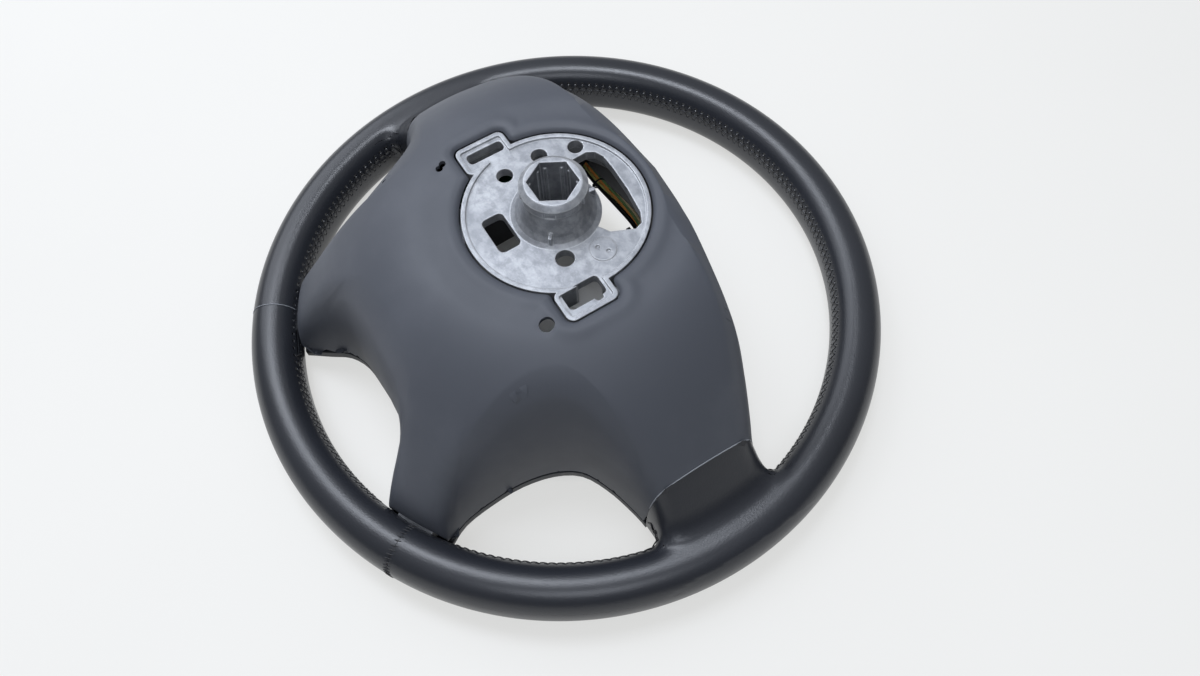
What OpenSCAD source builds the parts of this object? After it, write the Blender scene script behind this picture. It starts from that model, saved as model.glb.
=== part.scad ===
// Four-spoke car steering wheel, leather covered, without its airbag module.
// It lies face down: Z is the steering axis and points towards the column,
// Y points to 12 o'clock, X to 3 o'clock as seen from the column side.
// The floor plane, on which the front of the rim rests, is Z = 0.

/* [Rim] */
// Outer diameter of the leather rim
rim_d = 380; // [360:2:400]
// Thickness of the rim across, seen from the back
rim_w = 29; // [27:0.5:32]
// Thickness of the rim along the steering axis
rim_h = 37; // [33:0.5:40]
// Thickness of the leather
leather_t = 1.2; // [1:0.1:1.6]
// Half angle between the two cross seams, measured from 6 o'clock
seam_half_angle = 28.8; // [25:0.2:33]
// Width of the cast core of the rim
core_w = 12; // [10:0.5:13]
// Height of the cast core of the rim
core_h = 11; // [9:0.5:13]
// Wall of the cast core's channel
core_wall = 3; // [2:0.5:4]

/* [Rear cover] */
// Height of the cover's flat middle above the floor
cover_z = 119.5; // [112:0.5:126]
// Wall of the cover
cover_wall = 2.5; // [2:0.1:3.5]
// Radius of the cover's flat middle
cover_flat_r = 70; // [66:1:76]
// Fall of the cover's back from the middle to the leather joint
spoke_drop = 54.5; // [46:0.5:60]
// Width over which a side wall rounds into the back
shoulder_w = 17; // [12:0.5:20]
// Height of the parting line between the cover and the bezel
parting_z = 14; // [12:0.5:18]
// Height of the body above the hub, towards 12 o'clock
body_top_y = 68; // [64:0.5:74]
// Depth of the body below the hub, towards 6 o'clock
body_low_y = 120; // [112:1:126]
// Half width of a side spoke at the leather joint
side_spoke_hw = 35; // [30:0.5:38]
// Distance from the leather joint to the inside of the rim
joint_back = 19.5; // [16:0.5:26]
// Distance from the hub's axis to each round access hole, across
access_x = 56; // [52:0.5:60]
// Distance from the hub's axis to each round access hole, downwards
access_y = 38.5; // [36:0.5:42]
// Diameter of the access holes
access_d = 8; // [6:0.5:9]

/* [Hub] */
// Radius of the hub plate
plate_r = 49.5; // [47:0.5:51]
// Thickness of the hub plate
plate_t = 6; // [5:0.5:8]
// Distance from the cover's back down to the plate's back
plate_sunk = 2.5; // [1.5:0.25:4]
// Gap between the hub plate and the cover around it
plate_gap = 1; // [0.6:0.1:1.5]
// Width of the plate's raised border and of its skirt
border_w = 2.4; // [2:0.2:3]
// Depth of the skirt under the plate's back
skirt_depth = 16; // [12:1:18]
// Height of the boss above the plate
boss_h = 26; // [20:0.5:32]
// Width across the flats of the hexagon socket
hex_af = 23.2; // [20:0.1:25]
// Outer radius of the boss's collar
collar_r = 17.6; // [16.5:0.1:19]
// Diameter of the hole for the centre bolt
bolt_hole_d = 13; // [11:0.5:15]
// Thickness of the seat under the centre bolt
bolt_seat_t = 6; // [5:0.5:8]
// Depth of the boss below the plate's back
boss_depth = 18; // [16:0.5:22]

/* [Spoke arms] */
// Width of the cast arms
arm_w = 22; // [18:1:24]
// Height of the cast arms
arm_h = 12; // [10:0.5:14]
// Wall of the cast arms, which are channels open to the front
arm_wall = 4; // [3:0.5:5]
// Space between the cover's back and the arms
arm_below = 11; // [9:0.5:14]
// Angle of each lower spoke from 6 o'clock
low_spoke_angle = 28.5; // [27:0.5:30]

/* [Bezel] */
// Height of the bezel's front face above the floor
bezel_z = 8; // [6:0.5:10]
// Wall of the bezel
bezel_wall = 2.4; // [2:0.1:3]
// Top of the wall around the airbag pocket
pocket_top_z = 44; // [36:1:46]
// Half width of the airbag pocket
pocket_hw = 65; // [60:0.5:67]
// Top edge of the airbag pocket, towards 12 o'clock
pocket_up_y = 51; // [48:0.5:53]
// Bottom edge of the airbag pocket, towards 6 o'clock
pocket_low_y = 106; // [100:1:107]

/* [Switches] */
// Space between a switch housing and the wall of the airbag pocket
pod_pocket_gap = 8.1; // [7.6:0.1:9]
// Space between a switch housing and the leather joint
pod_joint_gap = 11; // [10:0.5:12]
// Height of a switch housing, seen from the front
pod_l = 45; // [44:0.5:48]
// Web between two button wells
slot_web = 1.9; // [1.7:0.1:2.4]
// Length of a button
button_l = 29; // [25:0.5:30]
// Travel of a push button
button_travel = 1.2; // [0.8:0.1:1.4]
// Gap around a button
button_gap = 0.5; // [0.4:0.05:0.7]

/* [Harness] */
// Diameter of the taped wiring trunk
trunk_d = 8; // [6:0.5:9]
// Diameter of one wire
wire_d = 1.9; // [1.4:0.1:2.2]

/* [Hidden] */

// Small measures shared by several pieces
seat_gap = 0.3;
fine = 64;
rim_r = rim_d / 2;
rim_mid_r = rim_r - rim_w / 2;
rim_in_r = rim_r - rim_w;
rim_mid_z = rim_h / 2;
plate_z = cover_z - plate_sunk;
joint_x = rim_in_r - joint_back;
cover_end_r = rim_in_r - seat_gap;
core_in_r = rim_mid_r - core_w / 2;
dish_power = 1.75;
shoulder_power = 3;
end_round = 9;

// Colours
leather_col = "#25272b";
plastic_col = "#4a4f54";
metal_col = "#b9bcc2";
steel_col = "#8d9196";
foam_col = "#3a3a3c";
board_col = "#1f5a3a";

// Plane curves

function mirrored(p) = [-p.x, p.y];
function polar(r, a) = [r * cos(a), r * sin(a)];
function reversed(list) = [for (i = [len(list) - 1:-1:0]) list[i]];

// A point of a Catmull-Rom curve between p1 and p2
function curve_point(p0, p1, p2, p3, t) =
    0.5 * (2 * p1 + (p2 - p0) * t + (2 * p0 - 5 * p1 + 4 * p2 - p3) * t * t
        + (3 * p1 - p0 - 3 * p2 + p3) * t * t * t);

// A smooth curve through the points, with n steps between neighbours
function smooth(pts, n) = concat([for (i = [0:len(pts) - 2], j = [0:n - 1])
        curve_point(pts[max(i - 1, 0)], pts[i], pts[i + 1], pts[min(i + 2, len(pts) - 1)], j / n)],
    [pts[len(pts) - 1]]);

// Where a curve first passes a given x, and where it first passes a given radius
function at_x(pts, x) = [for (i = [0:len(pts) - 2]) let (a = pts[i], b = pts[i + 1])
        if ((a.x - x) * (b.x - x) <= 0 && a.x != b.x) a + (b - a) * (x - a.x) / (b.x - a.x)][0];
function at_r(pts, r) = [for (i = [0:len(pts) - 2])
        let (a = pts[i], b = pts[i + 1], ra = norm(a), rb = norm(b))
        if ((ra - r) * (rb - r) <= 0 && ra != rb) a + (b - a) * (r - ra) / (rb - ra)][0];

function to_segment(p, a, b) =
    let (ab = b - a, t = max(0, min(1, (p - a) * ab / (ab * ab))))
    norm(p - a - ab * t);
function to_curve(p, pts) = min([for (i = [0:len(pts) - 2]) to_segment(p, pts[i], pts[i + 1])]);

// A rectangle with round corners, as points
function round_rect(w, l, r, n = 5) = [for (c = [0:3], k = [0:n])
        let (a = c * 90 + k * 90 / n, sx = (c == 0 || c == 3) ? 1 : -1, sy = c < 2 ? 1 : -1)
        [sx * (w / 2 - r) + r * cos(a), sy * (l / 2 - r) + r * sin(a)]];

// The outline of the spokes, right half, at the parting line

upper_edge = smooth([[0, body_top_y], [0.24 * joint_x, body_top_y - 3], [0.44 * joint_x, body_top_y - 8],
    [0.68 * joint_x, side_spoke_hw + 19], [0.82 * joint_x, side_spoke_hw + 12],
    [joint_x - 9, side_spoke_hw + 5], [joint_x + 1, side_spoke_hw + 0.5], [rim_in_r - 10, side_spoke_hw],
    [rim_in_r - 4, side_spoke_hw + 6]], 3);
side_low_edge = smooth([[rim_in_r - 3, -side_spoke_hw - 8], [rim_in_r - 8, -side_spoke_hw - 1],
    [joint_x + 1, 1 - side_spoke_hw], [0.9 * joint_x, -side_spoke_hw - 1.5],
    [0.79 * joint_x, -side_spoke_hw - 6], [0.69 * joint_x, -side_spoke_hw - 13.5],
    [0.63 * joint_x, -0.5 * body_low_y - 2], [0.6 * joint_x, -0.67 * body_low_y],
    [0.6 * joint_x, -0.83 * body_low_y], polar(rim_in_r - 14, -53.5), polar(rim_in_r, -54.3),
    polar(rim_in_r + 12, -54.8)], 3);
foot_edge = smooth([polar(rim_in_r + 10, -68.2), polar(rim_in_r, -68.7), polar(rim_in_r - 14, -70.2),
    [42, -body_low_y - 8], [30, -body_low_y - 2], [14, -body_low_y - 0.5], [0, -body_low_y]], 3);

// How far a point lies inside the side walls
function wall_distance(p) = let (q = [abs(p.x), p.y])
    min(to_curve(q, upper_edge), to_curve(q, side_low_edge), to_curve(q, foot_edge));

// Height of the back of the wheel's body without its side walls
function dish_z(r) =
    cover_z - spoke_drop * pow(max(r - cover_flat_r, 0) / (joint_x - cover_flat_r), dish_power);

// The lower spokes round down where they meet the rim
function end_fall(p) = p.y > -body_low_y ? 0 :
    let (e = min(1, max(0, norm(p) - (cover_end_r - end_round)) / end_round))
    end_round * (1 - sqrt(1 - e * e));

// Height of the skin, `inset` below the outer face, over a point that lies d inside the side walls
function skin_z(p, d, inset) =
    let (u = max(0, min(1, (d - inset) / (shoulder_w - inset))))
    parting_z + (dish_z(norm(p)) - end_fall(p) - inset - parting_z)
        * pow(1 - pow(1 - u, shoulder_power), 1 / shoulder_power);

// A point of a curve moved towards the axis until it lies `wall` inside the side walls
function drawn_in(p, wall, low = 0.6, high = 1, n = 11) = wall == 0 ? p : n == 0 ? p * low :
    let (k = (low + high) / 2) wall_distance(p * k) < wall ? drawn_in(p, wall, low, k, n - 1)
        : drawn_in(p, wall, k, high, n - 1);

// The right half of the edge of a shell, from 12 o'clock round to 6 o'clock, drawn in by `wall`
end_spread = [0, 0.03, 0.08, 0.16, 0.3, 0.5, 0.7, 0.84, 0.92, 0.97, 1];
function half_edge(wall) =
    let (a = at_x(upper_edge, joint_x) - [0, wall], b = at_x(side_low_edge, joint_x) + [0, wall],
        c = at_r(reversed(side_low_edge), cover_end_r), d = at_r(foot_edge, cover_end_r),
        turn = asin(wall / cover_end_r), ca = atan2(c.y, c.x) - turn, da = atan2(d.y, d.x) + turn)
    concat([for (p = upper_edge) if (p.x < joint_x - 0.5) drawn_in(p, wall)],
        [for (t = end_spread) a + (b - a) * t],
        [for (p = side_low_edge) if (p.x < joint_x - 0.5 && norm(p) < cover_end_r - 0.5) drawn_in(p, wall)],
        [for (t = end_spread) polar(cover_end_r, ca + (da - ca) * t)],
        [for (p = foot_edge) if (norm(p) < cover_end_r - 0.5) drawn_in(p, wall)]);
function whole(half) = concat(half, [for (i = [len(half) - 2:-1:1]) mirrored(half[i])]);
full_edge = whole(half_edge(0));
inner_edge = whole(half_edge(cover_wall));

// Closed solid through rings of equal length, where the last ring joins the first
module ring_loft(rings) {
    n = len(rings[0]);
    m = len(rings);
    polyhedron(points = [for (r = rings) each r], convexity = 8,
        faces = [for (i = [0:m - 1], j = [0:n - 1]) let (k = (i + 1) % m, l = (j + 1) % n)
            each [[i * n + j, k * n + l, k * n + j], [i * n + j, i * n + l, k * n + l]]]);
}

// Closed solid through rings of equal length, with a flat end at each side
module end_loft(rings) {
    n = len(rings[0]);
    m = len(rings);
    polyhedron(points = [for (r = rings) each r], convexity = 8,
        faces = concat([for (i = [0:m - 2], j = [0:n - 1]) let (l = (j + 1) % n, a = i * n, b = (i + 1) * n)
                each [[a + j, b + j, b + l], [a + j, b + l, a + l]]],
            [for (j = [1:n - 2]) [0, j, j + 1]],
            [for (j = [1:n - 2]) [(m - 1) * n, (m - 1) * n + j + 1, (m - 1) * n + j]]));
}

// Rim

// Section of the rim, drawn in by `inset`, with a narrow flat at the front on which the wheel rests
function rim_section(inset) = [for (k = [0:27])
        let (a = (k + 0.5) * 360 / 28, c = cos(a), s = sin(a), e = 0.9)
        [rim_mid_r + (rim_w / 2 - inset) * sign(c) * pow(abs(c) / cos(180 / 28), e),
            rim_mid_z + (rim_h / 2 - inset) * sign(s) * pow(abs(s) / cos(180 / 28), e)]];

module rim_body(inset, from = 0, sweep = 360) {
    rotate([0, 0, from])
        rotate_extrude(angle = sweep, $fn = 128)
            polygon(rim_section(inset));
}

// Root of a side spoke, which the leather covers: rings across the spoke from the joint into the rim
root_steps = 7;
root_across = [0, 0.004, 0.02, 0.06, 0.14, 0.28, 0.5, 0.72, 0.86, 0.94, 0.98, 0.996, 1];
function root_ring(t, inset) =
    let (start = joint_x + seat_gap, stop = rim_in_r + 8, x = start + (stop - start) * t,
        flare = 11 * pow(t, 3), up = side_spoke_hw + 0.3 + flare - inset,
        low = -side_spoke_hw + 0.8 - flare + inset,
        mid_z = parting_z + (rim_mid_z - parting_z) * t,
        crown = (dish_z(joint_x) + (rim_h - 5 - dish_z(joint_x)) * (1 - pow(1 - t, 1.9))) - inset,
        sole = bezel_z + 0.5 + inset)
    concat([for (k = root_across)
            let (y = up + (low - up) * k, d = min(y - low, up - y), u = min(1, d / (shoulder_w - inset)))
            [x, y, mid_z + (crown - mid_z) * pow(1 - pow(1 - u, shoulder_power), 1 / shoulder_power)]],
        [for (i = [len(root_across) - 2:-1:1])
            let (y = up + (low - up) * root_across[i], u = min(1, min(y - low, up - y) / 9))
            [x, y, mid_z - (mid_z - sole) * sqrt(1 - (1 - u) * (1 - u))]]);

module spoke_root(inset) {
    for (side = [0, 1])
        mirror([side, 0, 0])
            end_loft([for (i = [0:root_steps]) root_ring(i / root_steps, inset)]);
}

// Armature: a die casting with the hub and four arms, whose ends meet the core of the rim

// The arms are level where the cover is screwed on, then follow its back down to the core of the rim
lobe_x = plate_r + 2.3;
lobe_y = -13.5;
lobe_w = 18.5;
lobe_l = 29;
cover_screw_r = lobe_x + lobe_w / 2 + 5.95;
arm_level_r = cover_screw_r + 8;
function arm_top(r) = r < arm_level_r + 0.01 ? cover_z - arm_below
    : max(dish_z(r) - arm_below - 1.5 * end_round * pow(r / rim_in_r, 6), rim_mid_z + core_h / 2);
arm_from = plate_r - 6;
arm_steps = 8;
function arm_side(drop_top, drop_low) =
    let (step = (rim_mid_r - arm_level_r) / arm_steps,
        rs = concat([arm_from], [for (i = [0:arm_steps]) arm_level_r + step * i]))
    concat([for (r = rs) [r, arm_top(r) - drop_top]], [for (r = reversed(rs)) [r, arm_top(r) - drop_low]]);

module arm_bar(width, drop_top, drop_low) {
    translate([0, width / 2, 0])
        rotate([90, 0, 0])
            linear_extrude(width)
                polygon(arm_side(drop_top, drop_low));
}

arm_angles = [0, 180, -90 + low_spoke_angle, -90 - low_spoke_angle];

module arms_solid() {
    for (a = arm_angles)
        rotate([0, 0, a])
            arm_bar(arm_w, 0, arm_h);
}

// Core of the rim: a ring with a channel section, open to the front
module rim_core() {
    z0 = rim_mid_z - core_h / 2;
    color(metal_col)
        rotate_extrude($fn = 128)
            difference() {
                translate([core_in_r, z0])
                    square([core_w, core_h]);
                translate([core_in_r + core_wall, z0 - 1])
                    square([core_w - 2 * core_wall, core_h - core_wall + 1]);
            }
}

// The hub plate with its side lobes, which frame the windows for the airbag's hooks
module plate_outline(inset) {
    circle(r = plate_r - inset, $fn = fine);
    for (s = [-1, 1])
        translate([s * lobe_x, lobe_y])
            polygon(round_rect(lobe_w - 2 * inset, lobe_l - 2 * inset, 4 - inset));
}

// Round holes of the plate: place and diameter
plate_holes = [[-34, -11.5, 9], [-30, 30, 8.6], [27.2, -10.9, 10], [-35.5, 10.5, 9]];
cable_window = [[-23.5, 24], [-23.8, 33], [-21.5, 37], [-16.5, 39.3], [-8, 39.6], [8, 38.8],
    [24, 36.6], [30, 33.6], [31.6, 29], [26, 17], [20, 13.5], [0, 15], [-17, 17.5]];

module plate_windows() {
    translate([-52.9, -12.9])
        polygon(round_rect(6.8, 21.3, 2.4));
    translate([49.2, -13.4])
        polygon(round_rect(11.6, 21.2, 2.4));
    translate([55, -8.2])
        polygon(round_rect(4, 4.6, 1.6));
    translate([-3.7, -30.7])
        polygon(round_rect(22.8, 12.4, 3));
    polygon(cable_window);
}

boss_top_z = plate_z + boss_h;
hex_floor_z = plate_z - boss_depth + bolt_seat_t;

// Side view of the boss: foot, flare, neck, collar and chamfer
boss_foot_r = 20.5;
boss_profile = [[0, plate_z - boss_depth], [boss_foot_r - 3.5, plate_z - boss_depth],
    [boss_foot_r, plate_z - plate_t - 3], [boss_foot_r + 2, plate_z - plate_t + 1],
    [24, plate_z], [21.6, plate_z + 1.6], [19.4, plate_z + 4.5], [17.6, plate_z + 8.5], [16.4, plate_z + 13],
    [16, plate_z + 17.6], [collar_r, plate_z + 18.2], [collar_r, boss_top_z - 2.6],
    [collar_r - 2.4, boss_top_z - 0.4], [collar_r - 3, boss_top_z], [0, boss_top_z]];
collar_turn = -38;

module boss() {
    difference() {
        union() {
            rotate_extrude($fn = fine)
                polygon(boss_profile);
            // ribs up the flare
            for (a = [0:120:240])
                rotate([0, 0, collar_turn + a])
                    translate([14, -0.9, plate_z - 1])
                        cube([8.2, 1.8, 8]);
        }
        // drive slots in the collar, and the breaks between its three teeth
        for (a = [0:120:240]) {
            rotate([0, 0, collar_turn + a])
                translate([collar_r - 2, -3, plate_z + 16])
                    cube([4, 6, boss_h - 20.2]);
            rotate([0, 0, collar_turn + 60 + a])
                translate([collar_r - 1.6, -2, plate_z + 16])
                    cube([4, 4, boss_h - 19]);
        }
        translate([0, 0, hex_floor_z])
            linear_extrude(boss_top_z)
                circle(d = hex_af / cos(30), $fn = 6);
        translate([0, 0, plate_z - boss_depth - 1])
            cylinder(d = bolt_hole_d, h = bolt_seat_t + 2, $fn = fine);
    }
    // crush ribs on the flats of the hexagon
    for (a = [30:60:330], s = [-1, 1])
        rotate([0, 0, a])
            translate([hex_af / 2 + 0.15, s * 4.2, hex_floor_z - 0.5])
                cylinder(r = 0.8, h = boss_h + boss_depth - bolt_seat_t - 4, $fn = 16);
}

// Ears that carry the retaining springs, under the outer wall of each lobe
spring_d = 3;
spring_x = lobe_x + lobe_w / 2 - border_w / 2;
spring_z = plate_z - skirt_depth - spring_d / 2 - 2;
ear_t = 3.5;

module armature() {
    color(metal_col)
        difference() {
            union() {
                translate([0, 0, plate_z - plate_t])
                    linear_extrude(plate_t)
                        difference() {
                            plate_outline(border_w / 2);
                            plate_windows();
                            circle(r = boss_foot_r - 1, $fn = fine);
                        }
                translate([0, 0, plate_z - skirt_depth])
                    linear_extrude(skirt_depth + 1.3)
                        difference() {
                            plate_outline(0);
                            plate_outline(border_w);
                        }
                boss();
                // round casting pad beside the boss
                translate([33, 8.2, plate_z - 0.5])
                    cylinder(r = 7, h = 1, $fn = fine);
                difference() {
                    arms_solid();
                    for (a = arm_angles)
                        rotate([0, 0, a]) {
                            translate([1.5, 0, 0])
                                arm_bar(arm_w - 2 * arm_wall, arm_wall, arm_h + 2);
                        }
                    rotate_extrude($fn = 128)
                        translate([core_in_r, 0])
                            square([rim_w, rim_h]);
                    linear_extrude(cover_z)
                        plate_outline(border_w);
                }
                for (s = [-1, 1], y = [lobe_y - lobe_l / 2 + ear_t / 2, lobe_y + lobe_l / 2 - ear_t / 2])
                    translate([s * spring_x - 3, y - ear_t / 2, spring_z - 3])
                        cube([6, ear_t, plate_z - skirt_depth - spring_z + 3.5]);
            }
            for (h = plate_holes)
                translate([h.x, h.y, plate_z - skirt_depth])
                    cylinder(d = h[2], h = skirt_depth + 2, $fn = fine);
            for (a = arm_angles)
                rotate([0, 0, a])
                    translate([cover_screw_r, 0, cover_z - arm_below - arm_h])
                        cylinder(d = 4.2, h = arm_h + 2, $fn = 32);
            for (s = [-1, 1])
                translate([s * spring_x, 5, spring_z])
                    rotate([90, 0, 0])
                        cylinder(d = spring_d + 0.2, h = lobe_l + 20, $fn = 32);
            // two small ejector pits in the pad
            for (p = [[30.6, 6.4], [35.4, 10]])
                translate([p.x, p.y, plate_z - 0.4])
                    cylinder(r = 1.1, h = 2, $fn = 16);
        }
}

module rim_foam() {
    color(foam_col)
        difference() {
            union() {
                rim_body(leather_t);
                spoke_root(leather_t);
            }
            rim_core();
            arms_solid();
        }
}

// Leather: two panels whose cut ends butt at the cross seams
seam_gap = 0.25;

module leather_upper() {
    color(leather_col)
        difference() {
            union() {
                rim_body(0, -90 + seam_half_angle + seam_gap, 360 - 2 * seam_half_angle - 2 * seam_gap);
                spoke_root(0);
            }
            rim_body(leather_t);
            spoke_root(leather_t);
            arms_solid();
        }
}

module leather_lower() {
    color(leather_col)
        difference() {
            rim_body(0, -90 - seam_half_angle + seam_gap, 2 * seam_half_angle - 2 * seam_gap);
            rim_body(leather_t);
            arms_solid();
        }
}

// Rear cover: a deep moulded shell

rows = 10;
hub_hole_r = plate_r + plate_gap;
screw_pilot_d = 2.6;

// A ring of the shell: from its edge (t = 0) to the hole for the hub (t = 1)
function shell_ring(edge, t, inset) = [for (p = edge)
        let (r = norm(p), q = p * (r - (r - hub_hole_r) * pow(t, 2.1)) / r)
        [q.x, q.y, skin_z(q, wall_distance(q), inset)]];

// Screws of the bezel: above each switch housing, and between the pocket and the side wall below it
low_screw_y = -0.55 * body_low_y;
pocket_side_x = pocket_hw - 4 + bezel_wall;
low_screw_x = pocket_side_x + 0.39 * (0.63 * joint_x - pocket_side_x);
bezel_screw_places = [for (s = [-1, 1])
        each [[s * (joint_x - 51.5), side_spoke_hw + 11.5], [s * low_screw_x, low_screw_y]]];
bezel_boss_r = 4.6;
boss_meet_z = parting_z + 9;

// A post that rises from a height into the middle of the shell's wall
module skin_post(p, r, from_z) {
    foot = [for (k = [0:23]) p + polar(r, 15 * k)];
    end_loft([[for (q = foot) [q.x, q.y, from_z]],
        [for (q = foot) [q.x, q.y, skin_z(q, wall_distance(q), cover_wall / 2)]]]);
}

module rear_cover() {
    color(plastic_col) {
        difference() {
            ring_loft(concat([for (i = [0:rows]) shell_ring(full_edge, i / rows, 0)],
                [for (i = [rows:-1:0]) shell_ring(inner_edge, i / rows, cover_wall)]));
            for (s = [-1, 1]) {
                translate([s * lobe_x, lobe_y, cover_z - 12])
                    linear_extrude(20)
                        polygon(round_rect(lobe_w + 2 * plate_gap, lobe_l + 2 * plate_gap, 5));
                translate([s * access_x, -access_y, cover_z - 12])
                    cylinder(d = access_d, h = 20, $fn = 32);
            }
        }
        // screw bosses towards the cast arms
        for (a = arm_angles)
            rotate([0, 0, a])
                translate([cover_screw_r, 0, cover_z - arm_below])
                    difference() {
                        cylinder(r = 3.6, h = arm_below - cover_wall / 2, $fn = 32);
                        translate([0, 0, -1])
                            cylinder(d = screw_pilot_d, h = arm_below - cover_wall, $fn = 24);
                    }
        // screw bosses towards the bezel
        for (p = bezel_screw_places)
            difference() {
                skin_post(p, bezel_boss_r, boss_meet_z);
                translate([p.x, p.y, boss_meet_z - 1])
                    cylinder(d = screw_pilot_d, h = 17, $fn = 24);
            }
    }
}

// Bezel: the front frame around the airbag pocket

function pocket_half(grow) = smooth([[0, pocket_up_y + grow], [0.62 * pocket_hw, pocket_up_y - 1.5 + grow],
        [0.93 * pocket_hw + grow * 0.7, pocket_up_y - 11 + grow * 0.7], [pocket_hw + grow, pocket_up_y - 30],
        [pocket_hw - 0.5 + grow, -20], [pocket_hw - 4 + grow, -60],
        [pocket_hw - 11 + grow * 0.8, -pocket_low_y + 16 - grow * 0.5],
        [pocket_hw - 27 + grow * 0.3, -pocket_low_y + 2 - grow], [0, -pocket_low_y - grow]], 3);

module pod_aperture(grow) {
    for (s = [-1, 1])
        translate([s * pod_x, 0])
            polygon(round_rect(pod_w + 2 * grow, pod_l + 2 * grow, 7 + grow));
}

pod_flange = 1.6;
pod_flange_t = 1.4;
pod_in_x = pocket_hw + bezel_wall + pod_pocket_gap;
pod_w = joint_x - pod_joint_gap - pod_in_x;
pod_x = pod_in_x + pod_w / 2;
// Three wells of equal pitch between the housing's end walls
slot_margin = 2.75;
slot_pitch = (pod_w - 2 * slot_margin) / 3;
button_w = slot_pitch - slot_web - 2 * button_gap;
pod_floor_z = bezel_z - pod_flange_t;
lug_x = pod_w / 2 + 4.6;
lug_z = bezel_z + 9;
lug_screw_d = 1.8;

module front_bezel() {
    color(plastic_col)
        difference() {
            union() {
                // face with its outer wall, chamfered towards the front
                translate([0, 0, bezel_z])
                    linear_extrude(bezel_wall)
                        difference() {
                            polygon(full_edge);
                            polygon(whole(pocket_half(0)));
                        }
                translate([0, 0, bezel_z])
                    linear_extrude(parting_z - seat_gap - bezel_z)
                        difference() {
                            polygon(full_edge);
                            polygon(inner_edge);
                        }
                translate([0, 0, bezel_z])
                    linear_extrude(pocket_top_z - bezel_z)
                        difference() {
                            polygon(whole(pocket_half(bezel_wall)));
                            polygon(whole(pocket_half(0)));
                        }
                for (p = bezel_screw_places)
                    translate([p.x, p.y, bezel_z])
                        cylinder(r = bezel_boss_r, h = boss_meet_z - bezel_z, $fn = 32);
                for (s = [-1, 1], e = [-1, 1])
                    translate([s * pod_x + e * lug_x, 0, bezel_z])
                        cylinder(r = 3, h = lug_z - bezel_z, $fn = 32);
            }
            translate([0, 0, bezel_z - 1])
                linear_extrude(bezel_wall + 2)
                    pod_aperture(0.25);
            for (p = bezel_screw_places)
                translate([p.x, p.y, bezel_z - 1]) {
                    cylinder(d = 4, h = 40, $fn = 32);
                    cylinder(d = 8.4, h = 8, $fn = 32);
                }
            for (s = [-1, 1], e = [-1, 1])
                translate([s * pod_x + e * lug_x, 0, lug_z - 6])
                    cylinder(d = lug_screw_d, h = 8, $fn = 24);
        }
}

// Retaining springs: bent wire held in the ears of the armature
spring_hook = 7;
module retaining_spring(side) {
    straight_from = lobe_y + lobe_l / 2 + 4;
    straight_to = -access_y + 2;
    bend_r = 5;
    color(steel_col)
        mirror([side, 0, 0])
            translate([spring_x, 0, spring_z]) {
                translate([0, straight_from, 0])
                    rotate([90, 0, 0])
                        cylinder(d = spring_d, h = straight_from - straight_to, $fn = 32);
                translate([-bend_r, straight_to, 0])
                    rotate([0, 0, -90])
                        rotate_extrude(angle = 90, $fn = 64)
                            translate([bend_r, 0])
                                circle(d = spring_d, $fn = 32);
                translate([-bend_r, straight_to - bend_r, 0])
                    rotate([0, -90, 0])
                        cylinder(d = spring_d, h = spring_hook, $fn = 32);
                translate([0, straight_from, 0])
                    sphere(d = spring_d, $fn = 32);
            }
}

// Switch housings and what is in them

cap_from = bezel_z - pod_flange_t - 1.2;
cap_end_z = bezel_z + 2;
pod_front_t = 2;
stem_end_z = bezel_z + 5.4;
plunger_z = stem_end_z + button_travel + 0.2;
board_z = bezel_z + 10;
board_t = 1.6;
pivot_r = 1;
pivot_z = bezel_z + 2.6;
slot_x = [-slot_pitch, 0, slot_pitch];

module pod_shell(side) {
    housing_wall = 1.8;
    color(plastic_col)
        translate([side * pod_x, 0, 0])
            difference() {
                union() {
                    translate([0, 0, pod_floor_z])
                        linear_extrude(pod_flange_t)
                            polygon(round_rect(pod_w + 2 * pod_flange, pod_l + 2 * pod_flange, 8.4));
                    translate([0, 0, pod_floor_z])
                        linear_extrude(board_z + board_t - pod_floor_z)
                            polygon(round_rect(pod_w, pod_l, 7));
                    for (e = [-1, 1])
                        translate([e * (lug_x - 2.2), 0, lug_z + 1])
                            cube([10, 8, 2], center = true);
                }
                // hollow, with a ledge for the board
                translate([0, 0, pod_floor_z + pod_front_t])
                    linear_extrude(board_z - pod_floor_z)
                        polygon(round_rect(pod_w - 2 * housing_wall - 1.6, pod_l - 2 * housing_wall - 1.6, 5));
                translate([0, 0, board_z])
                    linear_extrude(5)
                        polygon(round_rect(pod_w - 2 * housing_wall, pod_l - 2 * housing_wall, 5.4));
                for (x = slot_x)
                    translate([x, 0, pod_floor_z - 1])
                        linear_extrude(5)
                            polygon(round_rect(button_w + 2 * button_gap, button_l + 2 * button_gap, 2.5));
                for (e = [-1, 1])
                    translate([e * lug_x, 0, lug_z - 1])
                        cylinder(d = 2.6, h = 5, $fn = 24);
            }
}

// Posts that take the two screws of each board
board_screw_d = 1.4;
post_places = [for (s = [-1, 1]) [s * slot_pitch / 2, s * (pod_l / 2 - 4.6)]];

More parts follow.
